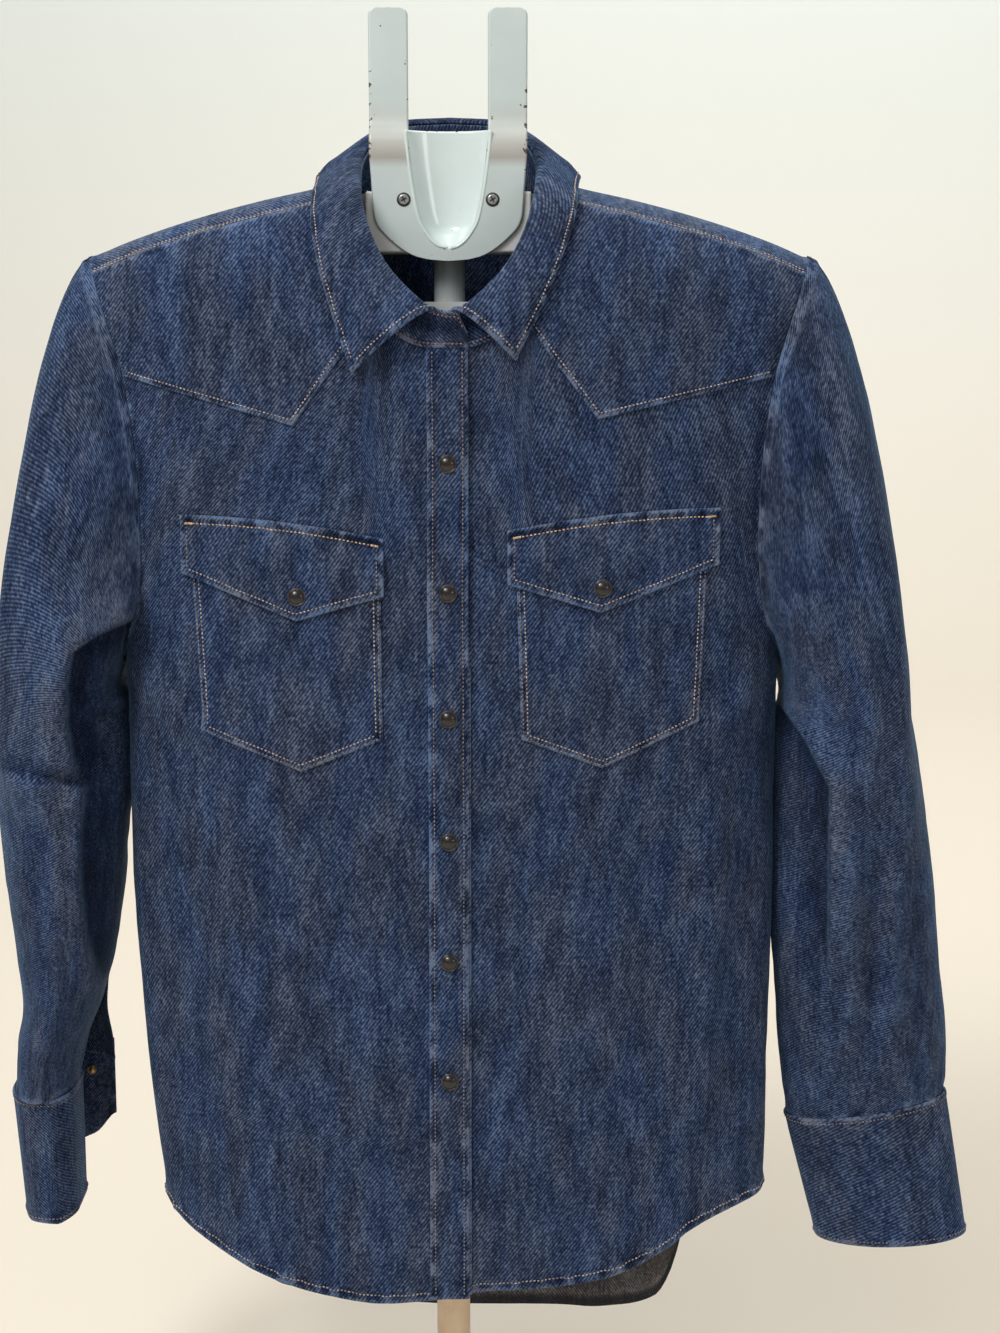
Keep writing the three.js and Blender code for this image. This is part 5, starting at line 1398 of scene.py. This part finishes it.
for name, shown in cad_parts.items():
    if not name.startswith("snap_"):
        continue
    if "cuff" in name:
        shown.data.materials.clear()
        shown.data.materials.append(snap_pearl)
        continue
    low, high = (np.array(corner) * 1000 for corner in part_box(name))
    middle = (low + high) / 2
    at_neck = name == "snap_collar"
    cap = turned(
        name + "_cap", CAP, (middle[0], high[1] - 0.15 + 1.2 * at_neck, middle[2] + 4.5 * at_neck),
        (0, -1, 0.6 if at_neck else 0.05), size=0.85 if at_neck else 1.0,
    )
    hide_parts(name)


stud = turned("snap_stud_cuff_right", CAP, (-246, 52.2, 240), (0, -1, 0.1), size=0.55, finishes=(brass, brass))


# The hanger's bracket: one painted steel sheet with two prongs jogged back above the plate and
# a cradle pressed between them, its paint chipped at the edges. A warm band of painted shade and
# painted reflection of the floor lies across the bend of the prongs, and the cradle's paint is
# made paler as a painted highlight.
def chipped_paint(name, light, bend_reflection_strength, roughness):
    pale = (0.57 * light, 0.65 * light, 0.645 * light)
    material = glossy(name, pale, tuple(1.06 * c for c in pale), 30, roughness, coat=0.35)
    tree = material.node_tree
    shader = tree.nodes["Principled BSDF"]
    under = shader.inputs["Base Color"].links[0].from_socket
    uv = node(tree, "ShaderNodeUVMap", -1500, 0, uv_map="cloth")
    wear_and_shade = node(tree, "ShaderNodeAttribute", -1500, -500, attribute_name="shade_and_wear")
    specks = node(tree, "ShaderNodeTexNoise", -1000, -300, noise_dimensions="2D")
    specks.inputs["Scale"].default_value = 260.0
    specks.inputs["Detail"].default_value = 3.0
    total = node(tree, "ShaderNodeMath", -800, -300, operation="MULTIPLY_ADD")
    knocks = node(tree, "ShaderNodeMapRange", -1100, 300)
    knocks.inputs["From Min"].default_value, knocks.inputs["From Max"].default_value = 0.80, 0.92
    where_knocked = node(tree, "ShaderNodeValToRGB", -900, 300)
    marks = where_knocked.color_ramp.elements
    marks[0].position, marks[0].color = 0.1, (0.1, 0.1, 0.1, 1)
    marks[1].position, marks[1].color = 0.8, (0.12, 0.12, 0.12, 1)
    marks.new(0.45).color = (0.42, 0.42, 0.42, 1)
    gate = node(tree, "ShaderNodeMapRange", -600, -300)
    gate.inputs["From Min"].default_value, gate.inputs["From Max"].default_value = 0.79, 0.81
    chips = node(tree, "ShaderNodeMix", -100, 0, data_type="RGBA")
    chips.inputs["B"].default_value = (0.075, 0.055, 0.045, 1)
    # A darker, warm band across the bend of the prongs, by height: painted shade and painted reflection of the floor,
    # as strong as the third argument.
    place = node(tree, "ShaderNodeTexCoord", -1500, 500)
    height = node(tree, "ShaderNodeSeparateXYZ", -1300, 500)
    span = node(tree, "ShaderNodeMapRange", -1100, 500)
    span.inputs["From Min"].default_value, span.inputs["From Max"].default_value = 0.826, 0.874
    bend_reflection_ramp = node(tree, "ShaderNodeValToRGB", -900, 500)
    stops = bend_reflection_ramp.color_ramp.elements
    stops[0].position, stops[0].color = 0.10, (1, 1, 1, 1)
    stops[1].position, stops[1].color = 0.95, (1, 1, 1, 1)
    stops.new(0.22).color = (0.66, 0.54, 0.49, 1)
    stops.new(0.34).color = (0.82, 0.71, 0.66, 1)
    stops.new(0.62).color = (0.93, 0.87, 0.83, 1)
    bend = node(tree, "ShaderNodeMix", -300, 500, data_type="RGBA", blend_type="MULTIPLY")
    bend.inputs["Factor"].default_value = bend_reflection_strength
    tree.links.new(place.outputs["Object"], height.inputs["Vector"])
    tree.links.new(height.outputs["Z"], span.inputs["Value"])
    tree.links.new(span.outputs["Result"], bend_reflection_ramp.inputs["Fac"])
    tree.links.new(under, bend.inputs["A"])
    tree.links.new(bend_reflection_ramp.outputs["Color"], bend.inputs["B"])
    under = bend.outputs["Result"]
    tree.links.new(uv.outputs["UV"], specks.inputs["Vector"])
    tree.links.new(height.outputs["Z"], knocks.inputs["Value"])
    tree.links.new(knocks.outputs["Result"], where_knocked.inputs["Fac"])
    tree.links.new(wear_and_shade.outputs["Fac"], total.inputs[0])
    tree.links.new(where_knocked.outputs["Color"], total.inputs[1])
    tree.links.new(specks.outputs["Fac"], total.inputs[2])
    tree.links.new(total.outputs["Value"], gate.inputs["Value"])
    tree.links.new(gate.outputs["Result"], chips.inputs["Factor"])
    tree.links.new(under, chips.inputs["A"])
    tree.links.new(chips.outputs["Result"], shader.inputs["Base Color"])
    return material


bracket_paint = chipped_paint("bracket_paint", 1.0, 0.9, 0.3)
# The cradle's paint is 1.2 times paler than the bracket's: a painted highlight on the cradle.
cradle_paint_highlit = chipped_paint("cradle_paint_highlit", 1.2, 0.0, 0.22)
PLATE_FACE, SHEET = -15.3, 2.0
cradle_half = columns(
    "z half",
    [(783.8, 0.4), (784.6, 3.4), (787.5, 8.5), (792.5, 12.8), (800, 17), (813, 20), (837, 23.4), (852, 24.6), (926, 24.6)],
)["half"]
plate_edge = columns(
    "z out",
    [(776, 0.5), (777, 12), (779, 20), (783, 27.5), (790, 36), (797, 42), (803, 44), (825, 45.4), (842, 46.4), (926, 46.6)],
)["out"]
jog = columns("z back", [(776, 0), (842, 0), (848, 0.8), (857, 6.2), (862, 7), (926, 7)])["back"]


def bent_sheet(name, x, y, z, paint, edges=()):
    return cut_cloth(
        name, np.stack([x, y, z], -1), (0, 60, 840), thick=SHEET,
        faces_in=(paint, paint), seams=[(side, 2.0, 0.0, 0.0, 6) for side in edges],
    )


heights = np.concatenate([
    [776.0, 776.3, 777], np.linspace(778.5, 784, 6), np.linspace(785, 842, 40), np.linspace(844, 864, 16),
    np.linspace(870, 918, 8), 923.5 - 4.5 * (1 - np.sin(np.linspace(0.1, 1, 8) * np.pi / 2)),
])
bracket_parts = []
for side in (-1, 1):
    u, z = np.meshgrid(even(0, 1, 14, 0.03), heights)
    inner = np.where(z < 783.8, 0.0, cradle_half(z)) * 1.0
    inner = np.where(z > 846, 24.6 + 0 * z, inner)
    outer = np.maximum(plate_edge(z), inner + 0.4)
    tip = clamp((z - 919) / 4.5) ** 2
    corner = 4.5 * (1 - np.sqrt(clamp(1 - tip)))
    x = side * mix(inner + corner, outer - corner, u)
    bracket_parts.append(bent_sheet(f"bracket_wing_{'left' if side > 0 else 'right'}", x, PLATE_FACE + jog(z), z, bracket_paint, ("left", "right")))
u, z = np.meshgrid(even(-1, 1, 40, 0.01), np.concatenate([np.linspace(784.2, 850, 50), [851.4, 852]]))
half = cradle_half(z) - 0.25
deep = 13 * ramp(779, 797, z)
y = PLATE_FACE + deep * np.sqrt(clamp(1 - u * u)) ** 1.15
bracket_parts.append(bent_sheet("bracket_cradle", u * half, y, z, cradle_paint_highlit))
for part in bracket_parts:
    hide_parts("bracket")

zinc = glossy("screw_zinc", (0.34, 0.35, 0.35), (0.55, 0.56, 0.56), 2, 0.3, metallic=0.85)
dark_ring = glossy("screw_ring", (0.035, 0.035, 0.035), (0.07, 0.07, 0.07), 2, 0.5, metallic=0.6)
SCREW_HEAD = [(0, 1.0), (1.5, 1.0), (2.4, 1.15), (2.9, 1.1), (3.1, 0.5), (3.3, 0.3), (3.9, 0.45), (4.15, 0.2), (4.2, 0), (0, 0)]
for side, name in ((-1, "screw_right"), (1, "screw_left")):
    head = turned(
        name + "_head", SCREW_HEAD, (side * 26.6, PLATE_FACE, 812), (0, -1, 0), rim_from=4, finishes=(zinc, dark_ring)
    )
    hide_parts(name)
    for i, turn in enumerate((0.5, 0.5 + math.pi / 2)):
        a = np.array([math.cos(turn), 0, math.sin(turn)])
        b = np.array([-math.sin(turn), 0, math.cos(turn)])
        corners = [
            np.array([side * 26.6, PLATE_FACE - 1.0, 812]) + a * 1.9 * p + b * 0.42 * q + np.array([0, -0.22, 0]) * r
            for p in (-1, 1) for q in (-1, 1) for r in (0, 1)
        ]
        mesh = bpy.data.meshes.new(f"{name}_slot_{i + 1}")
        mesh.from_pydata(
            [tuple(c / 1000) for c in corners], [],
            [(0, 1, 3, 2), (4, 6, 7, 5), (0, 4, 5, 1), (2, 3, 7, 6), (1, 5, 7, 3), (0, 2, 6, 4)],
        )
        slot = bpy.data.objects.new(f"{name}_slot_{i + 1}", mesh)
        bpy.context.collection.objects.link(slot)
        slot.data.materials.append(dark_ring)
        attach(slot, "root")


# The hanger's block, arms and clip of white plastic, and the pole: grey lacquered tube above a
# pale turned wood foot.
plastic = glossy("hanger_white", (0.62, 0.64, 0.63), (0.68, 0.70, 0.69), 40, 0.5)
lacquer = glossy("pole_grey", (0.44, 0.49, 0.50), (0.48, 0.53, 0.54), 25, 0.35, coat=0.2)
wood = glossy("pole_timber", (0.80, 0.58, 0.38), (0.90, 0.70, 0.50), 18, 0.5)
BLOCK = [(-50, -13), (-21.5, -13), (-15, 3.5), (15, 3.5), (21.5, -13), (50, -13), (50, 18), (-50, 18)]
mesh = bpy.data.meshes.new("hanger_block_body")
count = len(BLOCK)
mesh.from_pydata(
    [(x / 1000, y / 1000, z / 1000) for z in (781, 817) for x, y in BLOCK], [],
    [tuple(range(count))[::-1], tuple(range(count, 2 * count))]
    + [(i, (i + 1) % count, count + (i + 1) % count, count + i) for i in range(count)],
)
block = bpy.data.objects.new("hanger_block_body", mesh)
bpy.context.collection.objects.link(block)
rounding = block.modifiers.new("rounded_edges", "BEVEL")
rounding.width, rounding.segments = 0.0015, 3
block.data.materials.append(plastic)
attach(block, "root")
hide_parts("hanger_block")

FINISHES = {
    "hanger_arm_right": plastic, "hanger_arm_left": plastic,
    "pole_clip": plastic, "pole": lacquer, "pole_foot": wood,
}
for name, finish in FINISHES.items():
    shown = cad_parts[name]
    shown.data.materials.clear()
    shown.data.materials.append(finish)
